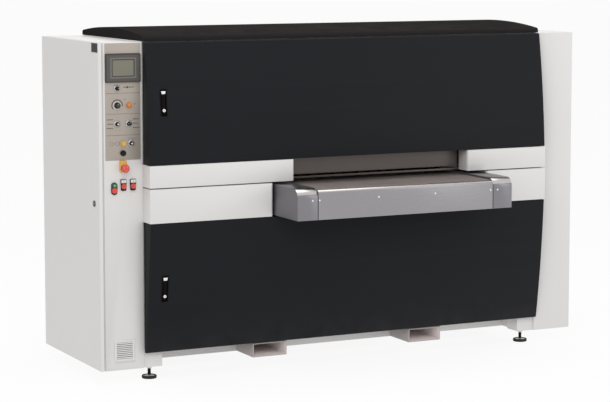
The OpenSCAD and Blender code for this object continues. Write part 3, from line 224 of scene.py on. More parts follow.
def beltSkin():
    # Conveyor belt: crossed threads, fine rows across it, broad streaks left by sheets along Y, and slow blotches
    group, use, place = newGroup("beltSkin", Thread=900.0, Streak=0.5)
    warp, weft = (maths("SINE", split(place, axis) * use["Thread"]) for axis in "XY")
    threads = (warp * weft + 1.0) * 0.5
    streak, broad = noise(place, 60.0, 5.0, 0.7, (0.05, 1.0, 1.0)), noise(place, 7.0, 3.0, 0.6, (1.0, 0.1, 1.0))
    blotch = noise(place, 16.0, 4.0, 0.6)
    tone = (streak + broad - 1.0) * use["Streak"] + (blotch - 0.5) * 0.25 + (threads - 0.5) * 0.25
    rough = use["Roughness"] - (streak - 0.5) * 0.3
    return closeGroup(group, tinted(use["Colour"], 1.0 + tone), rough, threads)


def gritSkin():
    # Abrasive: sharp grains in two sizes, worn pale on the working faces
    group, use, place = newGroup("gritSkin", Grit=700.0, Wear=0.5)
    grains = addNode("ShaderNodeTexVoronoi", {"Vector": place, "Scale": use["Grit"]}, output="Distance")
    height = grains + noise(place, 160.0, 5.0, 0.7)
    worn = remap(noise(place, 30.0, 4.0, 0.7, (1.0, 0.5, 1.0)), 0.45, 0.7) * use["Wear"]
    colour = blendColour(worn, tinted(use["Colour"], 0.75 + height * 0.35), linear(150, 128, 110))
    return closeGroup(group, colour, use["Roughness"], height)


skins = {"coat": coatSkin(), "brushed": brushedSkin(), "moulded": mouldedSkin(), "belt": beltSkin(),
         "grit": gritSkin()}

# Per skin, the names of its own values. Per finish: colour as it looks in plain light, roughness, depth of the
# relief in micrometres, metal, specular, and the skin's own values
finishes = {
    ("coat", "Cloud", "Dust"): {
        "coat": ((225, 223, 221), 0.42, 60, 0, 0.45, 0.025, 0.05),
        "darkCoat": ((33, 34, 37), 0.4, 70, 0, 0.06, 0.1, 0.04),
        "roofCoat": ((42, 40, 40), 0.5, 70, 0, 0, 0.1, 0.03),
        "pocketPaint": ((178, 171, 169), 0.5, 80, 0, 0.4, 0.12, 0.2),
        # the finish below is the pocket paint made much lighter for the tubes' inside faces, painted light where the
        # deep pockets would be in shade
        "pocketInsideLit": ((236, 228, 226), 0.6, 80, 0, 0.3, 0.12, 0.15),
        "unitPaint": ((150, 154, 158), 0.5, 100, 0, 0.4, 0.12, 0.35),
    },
    ("brushed", "Along", "Contrast"): {
        "stainlessFront": ((154, 151, 154), 0.3, 20, 1, 0.5, (1.5, 60, 60), 0.1),
        "stainlessBox": ((134, 132, 136), 0.32, 20, 1, 0.5, (1.5, 60, 60), 0.1),
        # the finish below is the steel made lighter and glossier, a painted highlight along the bends
        "stainlessBendHighlight": ((190, 185, 184), 0.26, 10, 1, 0.5, (1.5, 60, 60), 0.05),
        # the finish below is the steel made darker for the sideways faces, painted shade, with its brushing turned
        # the other way
        "stainlessSideShade": ((132, 130, 134), 0.46, 20, 0.9, 0.5, (60, 1.5, 60), 0.1),
        "throatSteel": ((98, 91, 88), 0.42, 30, 0.7, 0.5, (1.2, 50, 50), 0.16),
        "groundSteel": ((205, 205, 206), 0.22, 10, 1, 0.5, (60, 60, 2), 0.06),
        "turnedSteel": ((200, 201, 203), 0.28, 20, 1, 0.5, (60, 2, 60), 0.08),
        "panelPlate": ((174, 165, 155), 0.45, 10, 0.25, 0.5, (60, 60, 2), 0.07),
        "zinc": ((178, 180, 182), 0.35, 20, 0.9, 0.5, (8, 8, 30), 0.15),
        # the finish below is pale zinc for the foot pads and nuts; on the pads the pale colour also stands in for the
        # reflection on their faces, a painted highlight
        "paleZincAndHighlight": ((214, 206, 200), 0.3, 20, 0.8, 0.5, (8, 8, 30), 0.12),
    },
    ("moulded", "Cloud", "Grain"): {
        "greyPlastic": ((90, 87, 84), 0.5, 30, 0, 0.2, 0.05),
        "blackPlastic": ((24, 23, 23), 0.38, 30, 0, 0.2, 0.15),
        "whitePlastic": ((226, 226, 222), 0.42, 20, 0, 0.4, 0.04),
        "yellowPlastic": ((216, 170, 80), 0.35, 20, 0, 0.45, 0.08),
        "redPlastic": ((212, 78, 66), 0.32, 20, 0, 0.45, 0.1),
        "greenPlastic": ((36, 112, 78), 0.34, 20, 0, 0.45, 0.1),
        "orangeLens": ((214, 126, 56), 0.22, 20, 0, 0.5, 0.15),
        "bezelEdge": ((66, 64, 62), 0.5, 30, 0, 0.3, 0.05),
        "bezelStep": ((112, 109, 105), 0.5, 30, 0, 0.3, 0.05),
        "bezelChrome": ((182, 181, 182), 0.15, 10, 1, 0.5, 0.03, 2000.0),
        "screen": ((126, 123, 110), 0.16, 5, 0, 0.2, 0.05, 3000.0),
        "printInk": ((88, 82, 78), 0.5, 10, 0, 0.3, 0.1),
        "knobRing": ((206, 200, 192), 0.4, 20, 0, 0.3, 0.04),
        "dishBlack": ((15, 12, 11), 0.5, 30, 0, 0.06, 0.15),
        "blackSteel": ((30, 30, 31), 0.35, 30, 0.5, 0.5, 0.2),
        "screwSteel": ((238, 238, 240), 0.3, 10, 0.6, 0.5, 0.05),
        "footIron": ((40, 39, 38), 0.42, 80, 0.6, 0.5, 0.3, 700.0),
        "castAluminium": ((188, 189, 190), 0.38, 100, 1, 0.5, 0.12, 420.0),
        "motorPaint": ((84, 96, 108), 0.45, 150, 0, 0.4, 0.2, 350.0),
        "drumRubber": ((62, 60, 60), 0.7, 100, 0, 0.3, 0.25, 500.0),
        "pressRubber": ((48, 47, 48), 0.6, 60, 0, 0.3, 0.3, 900.0),
        "sealRubber": ((30, 30, 30), 0.65, 40, 0, 0.3, 0.2),
        # the finish below colours the seal behind the side door pale, a painted highlight along the edge beside the
        # door
        "paleSealHighlight": ((205, 204, 202), 0.6, 30, 0, 0.3, 0.1),
        "filterMat": ((104, 98, 92), 0.9, 200, 0, 0.15, 0.35, 500.0),
        "plateDark": ((66, 58, 58), 0.45, 10, 0, 0.1, 0.1),
        "plateField": ((46, 38, 38), 0.4, 10, 0, 0.1, 0.1),
        "ductGrey": ((150, 152, 154), 0.5, 20, 0, 0.4, 0.05),
        "wireBlue": ((38, 66, 120), 0.4, 20, 0, 0.4, 0.1),
        # the finish below is near black for slots, wells and gaps, painted shade where the openings would be dark
        "paintedShadeDark": ((20, 20, 21), 0.8, 50, 0, 0.1, 0.2),
    },
    ("belt", "Streak"): {"beltCloth": ((127, 118, 114), 0.78, 250, 0, 0.1, 0.55)},
    ("grit", "Wear"): {"grit": ((112, 72, 52), 0.85, 300, 0, 0.25, 0.45)},
}
bumpStrength = 0.6


def makeFinish(name, skin, labels, colour, rough, relief, metal, specular, *own):
    material = bpy.data.materials.new(name)
    group = emptyTree(material).nodes.new("ShaderNodeGroup")
    group.node_tree = skins[skin]
    for label, value in zip(("Colour", "Roughness") + labels, (linear(*colour), rough) + own):
        group.inputs[label].default_value = value
    made = {label: Value(socket) for label, socket in group.outputs.items()}
    bump = addNode("ShaderNodeBump", {"Height": made["Height"], "Strength": bumpStrength, "Distance": relief * 1e-6})
    shader = addNode("ShaderNodeBsdfPrincipled", {
        "Base Color": made["Colour"], "Roughness": made["Roughness"], "Normal": bump, "Metallic": metal,
        "Specular IOR Level": specular})
    addNode("ShaderNodeOutputMaterial", {"Surface": shader})
    return material


materials = {}
for (skinName, *ownLabels), rows in finishes.items():
    for finishName, row in rows.items():
        materials[finishName] = makeFinish(finishName, skinName, tuple(ownLabels), *row)
print("finishes made:", len(materials))


# Floor and surroundings

studio = {
    "level": 0.69,  # light of the surroundings on the object
    "seen": 1.0,  # the same surroundings as the camera, metal and glass see them
    "floorReach": 90,
    "floorGrey": 0.95,
    "floorLift": 0.9,  # share of plain white in the seen floor; the rest carries the shadow
    "floorBounce": 0.85,  # brightness of the floor to diffuse rays
}
white = (1, 1, 1, 1)


def rayIs(tree, kind):
    return addNode("ShaderNodeLightPath", {}, tree, "Is " + kind + " Ray")


def isBackground(tree):
    both = maths("MAXIMUM", rayIs(tree, "Camera"), rayIs(tree, "Glossy"))
    return maths("MAXIMUM", both, rayIs(tree, "Transmission"))


def glow(tree, kind, strength):
    return addNode(kind, {"Color": white, "Strength": strength}, tree)


def mixShader(share, a, b):
    return addNode("ShaderNodeMixShader", {0: share, 1: a, 2: b})


def makeWorld():
    world = bpy.data.worlds.new("studio")
    bpy.context.scene.world = world
    tree = emptyTree(world)
    lit, seen = (glow(tree, "ShaderNodeBackground", studio[key]) for key in ("level", "seen"))
    addNode("ShaderNodeOutputWorld", {0: mixShader(isBackground(tree), lit, seen)})


def makeFloor():
    reach, grey = studio["floorReach"], studio["floorGrey"]
    mesh = bpy.data.meshes.new("floor")
    mesh.from_pydata([(x * reach, y * reach, 0) for x, y in ((-1, -1), (1, -1), (1, 1), (-1, 1))], [], [(0, 1, 2, 3)])
    floor = addObject("floor", mesh)
    material = bpy.data.materials.new("paleFloor")
    tree = emptyTree(material)
    matt = addNode("ShaderNodeBsdfDiffuse", {"Color": (grey, grey, grey, 1)}, tree)
    # seen or mirrored, the floor is white with a trace of shadow; to diffuse rays it is a bright studio floor
    lift, bounce = (glow(tree, "ShaderNodeEmission", studio[key]) for key in ("seen", "floorBounce"))
    direct = mixShader(isBackground(tree) * studio["floorLift"], matt, lift)
    addNode("ShaderNodeOutputMaterial", {0: mixShader(rayIs(tree, "Diffuse"), direct, bounce)})
    mesh.materials.append(material)


makeWorld()
makeFloor()
bpy.context.scene.view_settings.view_transform = "Standard"
print("floor and surroundings set")


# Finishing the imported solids

# finish and width of the edge rounding in mm (zero leaves the edges as they are), and the solids that get them
nodeFinish = {
    ("coat", 2.0): "base_frame portal_frame",
    ("coat", 1.6): "right_housing",
    ("coat", 1.2): "rear_covers band_panels",
    ("coat", 0.8): "left_housing",
    ("coat", 0.3): "vent_grille",
    ("coat", 0): "cabinet_door",
    ("darkCoat", 1.0): "hood_door lower_door",
    ("roofCoat", 1.0): "roof_cover",
    ("pocketPaint", 1.5): "fork_pockets",
    ("footIron", 0.8): "leveling_feet",
    ("groundSteel", 0.8): "lift_columns",
    ("throatSteel", 0.5): "throat_guard",
    ("stainlessBox", 1.0): "infeed_side_boxes",
    ("stainlessFront", 1.0): "outfeed_table",
    ("stainlessFront", 0.4): "infeed_nose_plate",
    ("beltCloth", 0): "infeed_belt outfeed_belt",
    ("turnedSteel", 0.6): "infeed_nose_roller outfeed_nose_roller",
    ("drumRubber", 0.6): "infeed_drive_roller outfeed_drive_roller",
    ("unitPaint", 1.2): "upper_unit_frame lower_unit_frame",
    ("motorPaint", 0.8): "upper_motor lower_motor",
    ("castAluminium", 1.0): "upper_drive_pulley upper_idler_pulley lower_drive_pulley lower_idler_pulley",
    ("grit", 0): "upper_grinding_belt lower_grinding_belt",
    ("pressRubber", 0.8): "pressure_roller_front pressure_roller_rear",
    ("zinc", 0): "door_hinge_pins",
    ("zinc", 0.8): "mounting_plate",
    ("blackSteel", 0.6): "cabinet_lock",
    ("panelPlate", 0.4): "control_plate",
    ("greyPlastic", 0.6): "cable_gland",
    ("greyPlastic", 0.8): "operator_terminal",
    ("dishBlack", 0.5): "hood_latch_dish lower_latch_dish",
    ("blackPlastic", 0.8): "hood_latch_lever lower_latch_lever black_button",
    ("blackPlastic", 0.5): "mode_selector right_selector feed_selector button_holders",
    ("blackPlastic", 0.4): "speed_knob",
    ("whitePlastic", 0.5): "left_selector",
    ("orangeLens", 0.8): "lamp_button",
    ("yellowPlastic", 0.8): "reset_button",
    ("greenPlastic", 0.8): "start_button",
    ("redPlastic", 0.8): "stop_button_left stop_button_middle stop_button_right",
    ("redPlastic", 0.6): "estop_head",
}
edgeSetup = {"merge": 0.01 * mm, "flatAngle": 0.5, "bevelAngle": 28, "splitAngle": 32, "segments": 2}


def dressNode(name, finish, width):
    obj, setup = nodes[name], edgeSetup
    obj.data.materials.clear()
    obj.data.materials.append(materials[finish])
    obj.data.polygons.foreach_set("use_smooth", [True] * len(obj.data.polygons))
    assign(obj.modifiers.new("weld", "WELD"), merge_threshold=setup["merge"])
    assign(obj.modifiers.new("flat", "DECIMATE"), decimate_type="DISSOLVE", angle_limit=radians(setup["flatAngle"]))
    if width:
        assign(obj.modifiers.new("edges", "BEVEL"), width=width * mm, segments=setup["segments"],
               limit_method="ANGLE", angle_limit=radians(setup["bevelAngle"]), harden_normals=True,
               use_clamp_overlap=True)
    else:
        assign(obj.modifiers.new("edges", "EDGE_SPLIT"), split_angle=radians(setup["splitAngle"]))


def secondFinish(name, finish, chosen):
    # chosen gets the centres and the normals of the faces and says which of them take this further finish
    mesh = nodes[name].data
    mesh.materials.append(materials[finish])
    centres, normals = np.empty(len(mesh.polygons) * 3), np.empty(len(mesh.polygons) * 3)
    mesh.polygons.foreach_get("center", centres)
    mesh.polygons.foreach_get("normal", normals)
    places = np.empty(len(mesh.polygons), np.int32)
    mesh.polygons.foreach_get("material_index", places)
    places[chosen(centres.reshape(-1, 3), normals.reshape(-1, 3))] = len(mesh.materials) - 1
    mesh.polygons.foreach_set("material_index", places)


def insideTubes(centres, normals):
    # faces that look towards the middle of their own tube; there is one tube on each side of x = 0
    found = np.zeros(len(centres), bool)
    for side in (centres[:, 0] < 0, centres[:, 0] >= 0):
        middle = (centres[side].min(0) + centres[side].max(0)) / 2
        found[side] = ((centres[side] - middle) * normals[side])[:, [0, 2]].sum(1) < -1e-4
    return found


def cheeks(centres, normals):
    # faces that look sideways
    return np.abs(normals[:, 0]) > 0.9


def bends(centres, normals):
    # faces where the sheet turns from the top into the front; they take a lighter, glossier copy of the steel, a
    # painted highlight along the bend
    return (np.abs(normals[:, 0]) < 0.3) & (normals[:, 2] > 0.42) & (normals[:, 2] < 0.995)


def boardDevices(centres, normals):
    # what stands in front of the mounting plate's own sheet
    return centres[:, 0] < -1.1612


for (nodeSkin, roundWidth), nodeNames in nodeFinish.items():
    for nodeName in nodeNames.split():
        dressNode(nodeName, nodeSkin, roundWidth)
# inside faces of the fork pockets take the lighter copy of their paint, painted light over the tubes' shade
secondFinish("fork_pockets", "pocketInsideLit", insideTubes)
# sideways faces of the tables take the darker copy of the steel, painted shade
for tableNode in ("infeed_side_boxes", "outfeed_table"):
    secondFinish(tableNode, "stainlessSideShade", cheeks)
# bends of the tables and the nose take the lighter copy of the steel, a painted highlight
for tableNode in ("infeed_side_boxes", "outfeed_table", "infeed_nose_plate"):
    secondFinish(tableNode, "stainlessBendHighlight", bends)
secondFinish("mounting_plate", "whitePlastic", boardDevices)
print("solids dressed")


# Surfaces as grids of points

sharpAngle = 34  # edges steeper than this stay sharp
edgeLoops = 4  # outlines in the rounded end of a prism
# the ways across and up on each side, seen from outside
frontFace, leftFace = ((1, 0, 0), (0, 0, 1)), ((0, -1, 0), (0, 0, 1))
rearFace, topFace = ((-1, 0, 0), (0, 0, 1)), ((1, 0, 0), (0, 1, 0))


def gridFaces(rows, cols, wrapRows=False, wrapCols=False):
    # one quad between each point and its neighbours along the rows and the columns
    i, j = np.meshgrid(np.arange(rows if wrapRows else rows - 1), np.arange(cols if wrapCols else cols - 1),
                       indexing="ij")
    i2, j2 = (i + 1) % rows, (j + 1) % cols
    return np.stack([i * cols + j, i * cols + j2, i2 * cols + j2, i2 * cols + j], -1).reshape(-1, 4).tolist()


def tubeFaces(rings, count, closed=False):
    # the side of a tube of rings, with a flat cap at each end where it doesn't close on itself
    faces = gridFaces(rings, count, wrapRows=closed, wrapCols=True)
    if not closed:
        faces.append(list(range(count))[::-1])
        faces.append([(rings - 1) * count + k for k in range(count)])
    return faces


def build(name, parts, finish, slot, body="frame", *replaced):
    # the parts joined into one mesh, with the face numbers of each moved up by the points before it; last come the
    # solids that the piece stands for
    starts = np.cumsum([0] + [len(verts) for verts, polys in parts])
    faces = [[k + int(start) for k in poly] for (verts, polys), start in zip(parts, starts) for poly in polys]
    mesh = bpy.data.meshes.new(name)
    mesh.from_pydata(np.concatenate([verts for verts, polys in parts]).tolist(), [], faces)
    mesh.polygons.foreach_set("use_smooth", [True] * len(faces))
    mesh.set_sharp_from_angle(angle=radians(sharpAngle))
    mesh.materials.append(materials[finish])
    obj = addObject(name, mesh)
    if replaced:
        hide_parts(*replaced)
    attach(obj, body)


def placed(local, place, face):
    # local (u, v, w) to the machine: place + u * across + v * up + w * (across x up)
    across, up = np.array(face, float)
    return place + local @ np.stack([across, up, np.cross(across, up)])


def rectangle(left, low, right, high):
    return np.array([(left, low), (right, low), (right, high), (left, high)])


def roundRect(w, h, r, steps=5):
    # four quarter circles of radius r, anticlockwise from the right
    a = np.linspace(0, pi / 2, steps)
    corners = []
    for k, (sx, sy) in enumerate(((1, 1), (-1, 1), (-1, -1), (1, -1))):
        turn = a + k * pi / 2
        corners.append(np.stack([sx * (w / 2 - r) + r * np.cos(turn), sy * (h / 2 - r) + r * np.sin(turn)], 1))
    return np.concatenate(corners)


def ringOutline(r, count):
    # a point is r cos a across and r sin a up; r may differ from point to point
    a = np.arange(count) * 2 * pi / count
    return np.stack([r * np.cos(a), r * np.sin(a)], 1)


def thereAndBack(one, other):
    # out along one line of points and back along the other
    return np.concatenate([one, other[::-1]])


def drawnIn(outline, inset):
    # each corner moved inwards along the mitre of its two edges
    after = unit(np.roll(outline, -1, 0) - outline)
    before = np.roll(after, 1, 0)
    normals = np.stack([after[:, 1] + before[:, 1], -after[:, 0] - before[:, 0]], 1)
    size = 1 + np.sum(after * before, 1, keepdims=True)
    return outline - inset * normals / np.maximum(size, 0.3)


def stacked(loops):
    # flat outlines, each at its own depth
    return np.concatenate([np.column_stack([flat, np.full(len(flat), depth)]) for flat, depth in loops])


def prism(outline, low, high, edge, place, face=frontFace):
    # outline carried from low to high; near the top it is drawn in by edge (1 - sin t), edge (1 - cos t) below it
    t = np.linspace(0, pi / 2, edgeLoops)[::-1] if edge else [pi / 2]
    top = [(drawnIn(outline, edge * (1 - sin(k))), high - edge * (1 - cos(k))) for k in t]
    return placed(stacked([(outline, low)] + top), place, face), tubeFaces(len(top) + 1, len(outline))


def slab(values, place, face=frontFace):
    # a plate with round corners, from its (width, height, corner), low, high and edge
    size, *depths = values
    return prism(roundRect(*size), *depths, place, face)


def lathe(profile, place, face=frontFace, segments=32, closed=False):
    # (radius, depth) pairs turned about the axis across x up; a closed profile makes a ring without caps
    profile = np.array(profile, float)
    a = np.arange(segments) * 2 * pi / segments
    r, w = profile[:, :1], profile[:, 1:2]
    local = np.stack([r * np.cos(a), r * np.sin(a), w + 0 * a], -1).reshape(-1, 3)
    return placed(local, place, face), tubeFaces(len(profile), segments, closed)


def sweep(path, radius, segments):
    # a circle carried along a path, its normal kept from turning by projecting the last one on the next plane
    path = np.array(path, float)
    ahead = unit(np.gradient(path, axis=0))
    side = np.cross(ahead[0], (0.3, 0.5, 0.81))
    rings = []
    a = np.arange(segments) * 2 * pi / segments
    for point, d in zip(path, ahead):
        side = unit(side - d * (side @ d))
        rings.append(point + radius * (np.cos(a)[:, None] * side + np.sin(a)[:, None] * np.cross(d, side)))
    return np.concatenate(rings), tubeFaces(len(path), segments)


def flatRing(outer, inner, low, high, place, face=frontFace):
    # a ring between two outlines of the same number of points, with a little rounding on its front
    edge = (high - low) * 0.3
    loops = [(inner, low), (outer, low), (outer, high - edge), (drawnIn(outer, edge), high),
             (drawnIn(inner, -edge), high), (inner, high - edge)]
    return placed(stacked(loops), place, face), tubeFaces(len(loops), len(outer), closed=True)


def buttonHead(radius, height, place, face=frontFace):
    # a domed head with a round recess: the radius falls with the square of the height
    h = np.linspace(0.15, 1, 6)
    dome = [(radius * sqrt(max(1 - (k - 0.15) ** 2 * 1.05, 0.1)), height * k) for k in h]
    recess = [(radius * 0.42, height), (radius * 0.38, height * 0.35)]
    return lathe([(radius, 0)] + dome + recess, place, face, 20)


# Control panel

panel = {
    "x": -1.328, "z": 1.103, "w": 0.183, "h": 0.57, "y": -0.412,
    # centre of each control, as shares of the plate's width and height
    "holes": {"mode": (0.339, 0.616), "knob": (0.339, 0.47), "lamp": (0.672, 0.47), "left": (0.333, 0.311),
              "right": (0.661, 0.311), "reset": (0.497, 0.142), "feed": (0.727, 0.142), "black": (0.492, 0.06)},
    "screws": {"inset": 0.006, "heights": (0.006, 0.57 * 0.36, 0.57 * 0.68, 0.57 - 0.006), "size": (0.0028, 0.0012)},
}
panelPlaces = {key: (panel["x"] + panel["w"] * u, panel["z"] + panel["h"] * v)
               for key, (u, v) in panel["holes"].items()}


def onPanel(key, y=panel["y"]):
    x, z = panelPlaces[key]
    return x, y, z


def strip(u0, v0, u1, v1, width, proud=0.00015):
    # a thin printed bar from one place to another
    run = np.array([u1 - u0, 0, v1 - v0])
    length = np.linalg.norm(run)
    across = run / length
    up = np.cross((0, -1, 0), across)
    return prism(rectangle(0, -width / 2, length, width / 2), 0, proud, 0, (u0, panel["y"], v0), (across, up))


def arcBar(centre, radius, width, start, end, y=panel["y"], proud=0.00015, steps=40):
    # a printed arc: two circles of radius -+ width/2 joined at the ends; angles from the top, clockwise
    a = np.radians(np.linspace(start, end, steps))
    rays = np.stack([np.sin(a), np.cos(a)], 1)
    outline = thereAndBack(rays * (radius - width / 2), rays * (radius + width / 2))
    return prism(outline, 0, proud, 0, (centre[0], y, centre[1]))


def tick(centre, radius, length, width, angle):
    # a bar along the ray at this angle from the top, from radius to radius + length
    s, c = sin(radians(angle)), cos(radians(angle))
    x, z = centre
    return strip(x + s * radius, z + c * radius, x + s * (radius + length), z + c * (radius + length), width)


printed = {
    "rules": (1.43, 1.329, 1.225), "ruleInset": 0.003, "ruleWidth": 0.0014,
    "scale": (0.0268, 0.0052, -128, 100),  # radius, width and angles of the arc round the speed knob
    "scaleTicks": (0.031, 0.0035, 0.001), "scaleAngles": range(-128, 129, 32),  # radius, length and width
    "turnTicks": (0.0165, 0.0045, 0.0012), "turnAngles": (-45, 0, 45),
    "circles": ((-1.297, 1.184), (-1.265, 1.184)), "circle": (0.0095, 0.0012, 0, 360),
    "link": (-1.286, 1.184, -1.276, 1.184, 0.0014),
    # rows of plain bars beside the two selectors: height and reach of a row, and the shares that the bars take
    "rows": ((0.022, 0.03), (0.001, 0.028), (-0.02, 0.032)), "bars": ((0.0, 0.24), (0.3, 0.62), (0.68, 1.0)),
    "rowStart": 0.022, "barWidth": 0.004,
    "top": {"x": -1.232, "z": 1.4585, "step": 0.014, "length": 0.0115, "width": 0.0042, "count": 4},
    "topRing": ((-1.212, 1.4585), 0.0035, 0.003, 0, 360),
    "dashes": ((-1.229, 1.396, -1.2235, 1.403, 0.0028), (-1.178, 1.373, -1.171, 1.379, 0.003)),
    "comb": {"x": -1.208, "step": 0.0065, "low": 1.202, "high": 1.212, "width": 0.0012, "count": 7},
}


def panelPrint():
    p = printed
    left, right = panel["x"] + p["ruleInset"], panel["x"] + panel["w"] - p["ruleInset"]
    knobAt = panelPlaces["knob"]
    parts = [strip(left, z, right, z, p["ruleWidth"]) for z in p["rules"]]
    parts.append(arcBar(knobAt, *p["scale"]))
    parts += [tick(knobAt, *p["scaleTicks"], a) for a in p["scaleAngles"]]
    for key in ("mode", "left", "right", "feed"):
        parts += [tick(panelPlaces[key], *p["turnTicks"], a) for a in p["turnAngles"]]
    parts += [arcBar(centre, *p["circle"]) for centre in p["circles"]]
    parts.append(strip(*p["link"]))
    for key, side in (("left", -1), ("right", 1)):
        x, z = panelPlaces[key]
        start = x + side * p["rowStart"]
        for dz, reach in p["rows"]:
            parts += [strip(start + side * reach * a, z + dz, start + side * reach * b, z + dz, p["barWidth"])
                      for a, b in p["bars"]]
    top, comb = p["top"], p["comb"]
    for x in (top["x"] + k * top["step"] for k in range(top["count"])):
        parts.append(strip(x, top["z"], x + top["length"], top["z"], top["width"]))
    parts.append(arcBar(*p["topRing"], steps=20))
    parts += [strip(*dash) for dash in p["dashes"]]
    for x in (comb["x"] + k * comb["step"] for k in range(comb["count"])):
        parts.append(strip(x, comb["low"], x, comb["high"], comb["width"]))
    build("panelPrint", parts, "printInk", "panel_plate")


def panelFixings():
    screws = panel["screws"]
    spots = [(panel["x"] + a, panel["y"], panel["z"] + b)
             for a in (screws["inset"], panel["w"] - screws["inset"]) for b in screws["heights"]]
    build("panelScrews", [buttonHead(*screws["size"], s) for s in spots], "zinc", "bright_steel")


terminal = {
    "centre": (panel["x"] + panel["w"] / 2, panel["z"] + panel["h"] * 0.789), "y": -0.423, "glassEdge": 0.0003,
    # outer and inner width, height and corner (the glass has no inner outline), how far behind the front, height,
    # finish and slot
    "pieces": {
        "terminalEdge": ((0.1802, 0.1382, 0.005), (0.171, 0.129, 0.004), 0, 0.0008, "bezelEdge", "grey_plastic"),
        "terminalRims": ((0.135, 0.101, 0.003), (0.1175, 0.0845, 0.002), 0, 0.001, "bezelStep", "grey_plastic"),
        "terminalScreen": ((0.1168, 0.0838, 0.0015), None, 0.0025, 0.0008, "screen", "grey_plastic"),
        "screenBorder": ((0.1165, 0.0835, 0.0015), (0.108, 0.076, 0.0015), 0.0017, 0.0002, "bezelEdge",
                         "grey_plastic"),
        "terminalGasket": ((0.183, 0.141, 0.006), (0.1801, 0.1381, 0.005), 0.011, 0.002, "sealRubber",
                           "black_plastic"),
    },
}


def terminalParts():
    x, z = terminal["centre"]
    for name, (outer, inner, sunk, height, finish, slot) in terminal["pieces"].items():
        place = (x, terminal["y"] + sunk, z)
        if inner:
            part = flatRing(roundRect(*outer), roundRect(*inner), 0, height, place)
        else:
            part = prism(roundRect(*outer), 0, height, terminal["glassEdge"], place)
        build(name, [part], finish, slot)


selectors = {
    # node, control, turn of the grip in degrees from the top, body and slot
    "modeHandle": ("mode_selector", "mode", 100, "mode", "black_plastic"),
    "leftHandle": ("left_selector", "left", 82, "left_sel", "light_plastic"),
    "rightHandle": ("right_selector", "right", -82, "right_sel", "black_plastic"),
    "feedHandle": ("feed_selector", "feed", -80, "feed_sel", "black_plastic"),
}
selectorShape = {
    "y": -0.4123, "base": [(0.0108, 0), (0.0108, 0.0062), (0.0104, 0.0074), (0.0094, 0.008)],
    "length": 0.0215, "width": 0.0088, "low": 0.006, "high": 0.0158, "edge": 0.0012,
    "line": (0.001, -0.0006, 0.0098, 0.0006), "lineHeight": (-0.0001, 0.00015),
    "insert": [(0.0042, 0.0156), (0.0042, 0.0166), (0.0036, 0.017)],
}


def selector(name, node, key, turn, body, slot):
    shape = selectorShape
    a = radians(turn)
    face = (sin(a), 0, cos(a)), (-cos(a), 0, sin(a))
    spot = onPanel(key, shape["y"])
    # the grip's half width shrinks from the pointer end by a cosine
    t = np.linspace(0, 1, 14)
    half = shape["width"] * (0.62 + 0.38 * np.cos(t * pi * 0.9))
    x = -shape["length"] / 2 + shape["length"] * t
    outline = thereAndBack(np.stack([x, -half / 2], 1), np.stack([x, half / 2], 1))
    grip = prism(outline, shape["low"], shape["high"], shape["edge"], spot, face)
    build(name, [lathe(shape["base"], spot, segments=40), grip], "blackPlastic", slot, body, node)
    low, high = (shape["high"] + h for h in shape["lineHeight"])
    build(name + "Line", [prism(rectangle(*shape["line"]), low, high, 0, spot, face)], "whitePlastic", slot, body)


def selectorInserts():
    for key, body, slot in (("left", "left_sel", "light_plastic"), ("feed", "feed_sel", "black_plastic")):
        insert = lathe(selectorShape["insert"], onPanel(key, selectorShape["y"]), segments=24)
        build(key + "Insert", [insert], "whitePlastic", slot, body)


knob = {
    "y": -0.4123, "radius": 0.0135, "flute": 0.035, "flutes": 18, "skirt": (0.0034, 0.015, 0.0012),
    "foot": [(0.0149, 0), (0.0149, 0.003), (0.0143, 0.0038)],
    "cap": [(0.01, 0.0149), (0.0098, 0.017), (0.0088, 0.0176)],
    "pointer": (-0.0007, 0.004, 0.0007, 0.0088), "pointerHeight": (0.01755, 0.0178),
}


def speedKnob():
    spot = onPanel("knob", knob["y"])
    # fluted skirt: radius r (1 + flute cos(flutes a)), under a flat cap
    a = np.arange(108) * 2 * pi / 108
    r = knob["radius"] * (1 + knob["flute"] * np.cos(knob["flutes"] * a))
    skirt = prism(ringOutline(r, 108), *knob["skirt"], spot)
    foot, cap = lathe(knob["foot"], spot, segments=48), lathe(knob["cap"], spot, segments=40)
    build("speedKnobGrip", [foot, skirt], "blackPlastic", "black_plastic", "speed", "speed_knob")
    build("speedKnobCap", [cap], "bezelEdge", "black_plastic", "speed")
    pointer = prism(rectangle(*knob["pointer"]), *knob["pointerHeight"], 0, spot)
    build("speedKnobLine", [pointer], "whitePlastic", "black_plastic", "speed")


buttonCaps = {
    # node, control, finish, body, slot and depth of the dish (below zero it is a dome)
    "lampLens": ("lamp_button", "lamp", "orangeLens", "lamp", "orange_plastic", -0.0022),
    "resetCap": ("reset_button", "reset", "yellowPlastic", "reset", "yellow_plastic", 0.001),
    "blackCap": ("black_button", "black", "blackPlastic", "black", "black_plastic", 0.0012),
}
capShape = {"radius": 0.0108, "drawn": 0.0009, "rim": 0.0065, "rise": 0.0013, "dish": 0.0095, "proud": 0.0045}


def buttonCap(name, node, key, finish, body, slot, dish):
    # a quarter of an ellipse round the rim, and inside it a quarter sine down or up to the middle
    shape = capShape
    quarter = pi / 2
    top = [(shape["radius"] - shape["drawn"] * (1 - cos(k * quarter)),
            shape["rim"] + shape["rise"] * sin(k * quarter)) for k in np.linspace(0, 1, 6)]
    inner = [(shape["dish"] * (1 - k), shape["rim"] + shape["rise"] - dish * sin(k * quarter))
             for k in np.linspace(0.06, 0.93, 8)]
    spot = onPanel(key, panel["y"] - shape["proud"])
    cap = lathe([(shape["radius"], 0)] + top + inner, spot, segments=40)
    build(name, [cap], finish, slot, body, node)


panelPrint()
panelFixings()
terminalParts()
for pieceName, values in selectors.items():
    selector(pieceName, *values)
selectorInserts()
speedKnob()
for pieceName, values in buttonCaps.items():
    buttonCap(pieceName, *values)
print("control panel built")


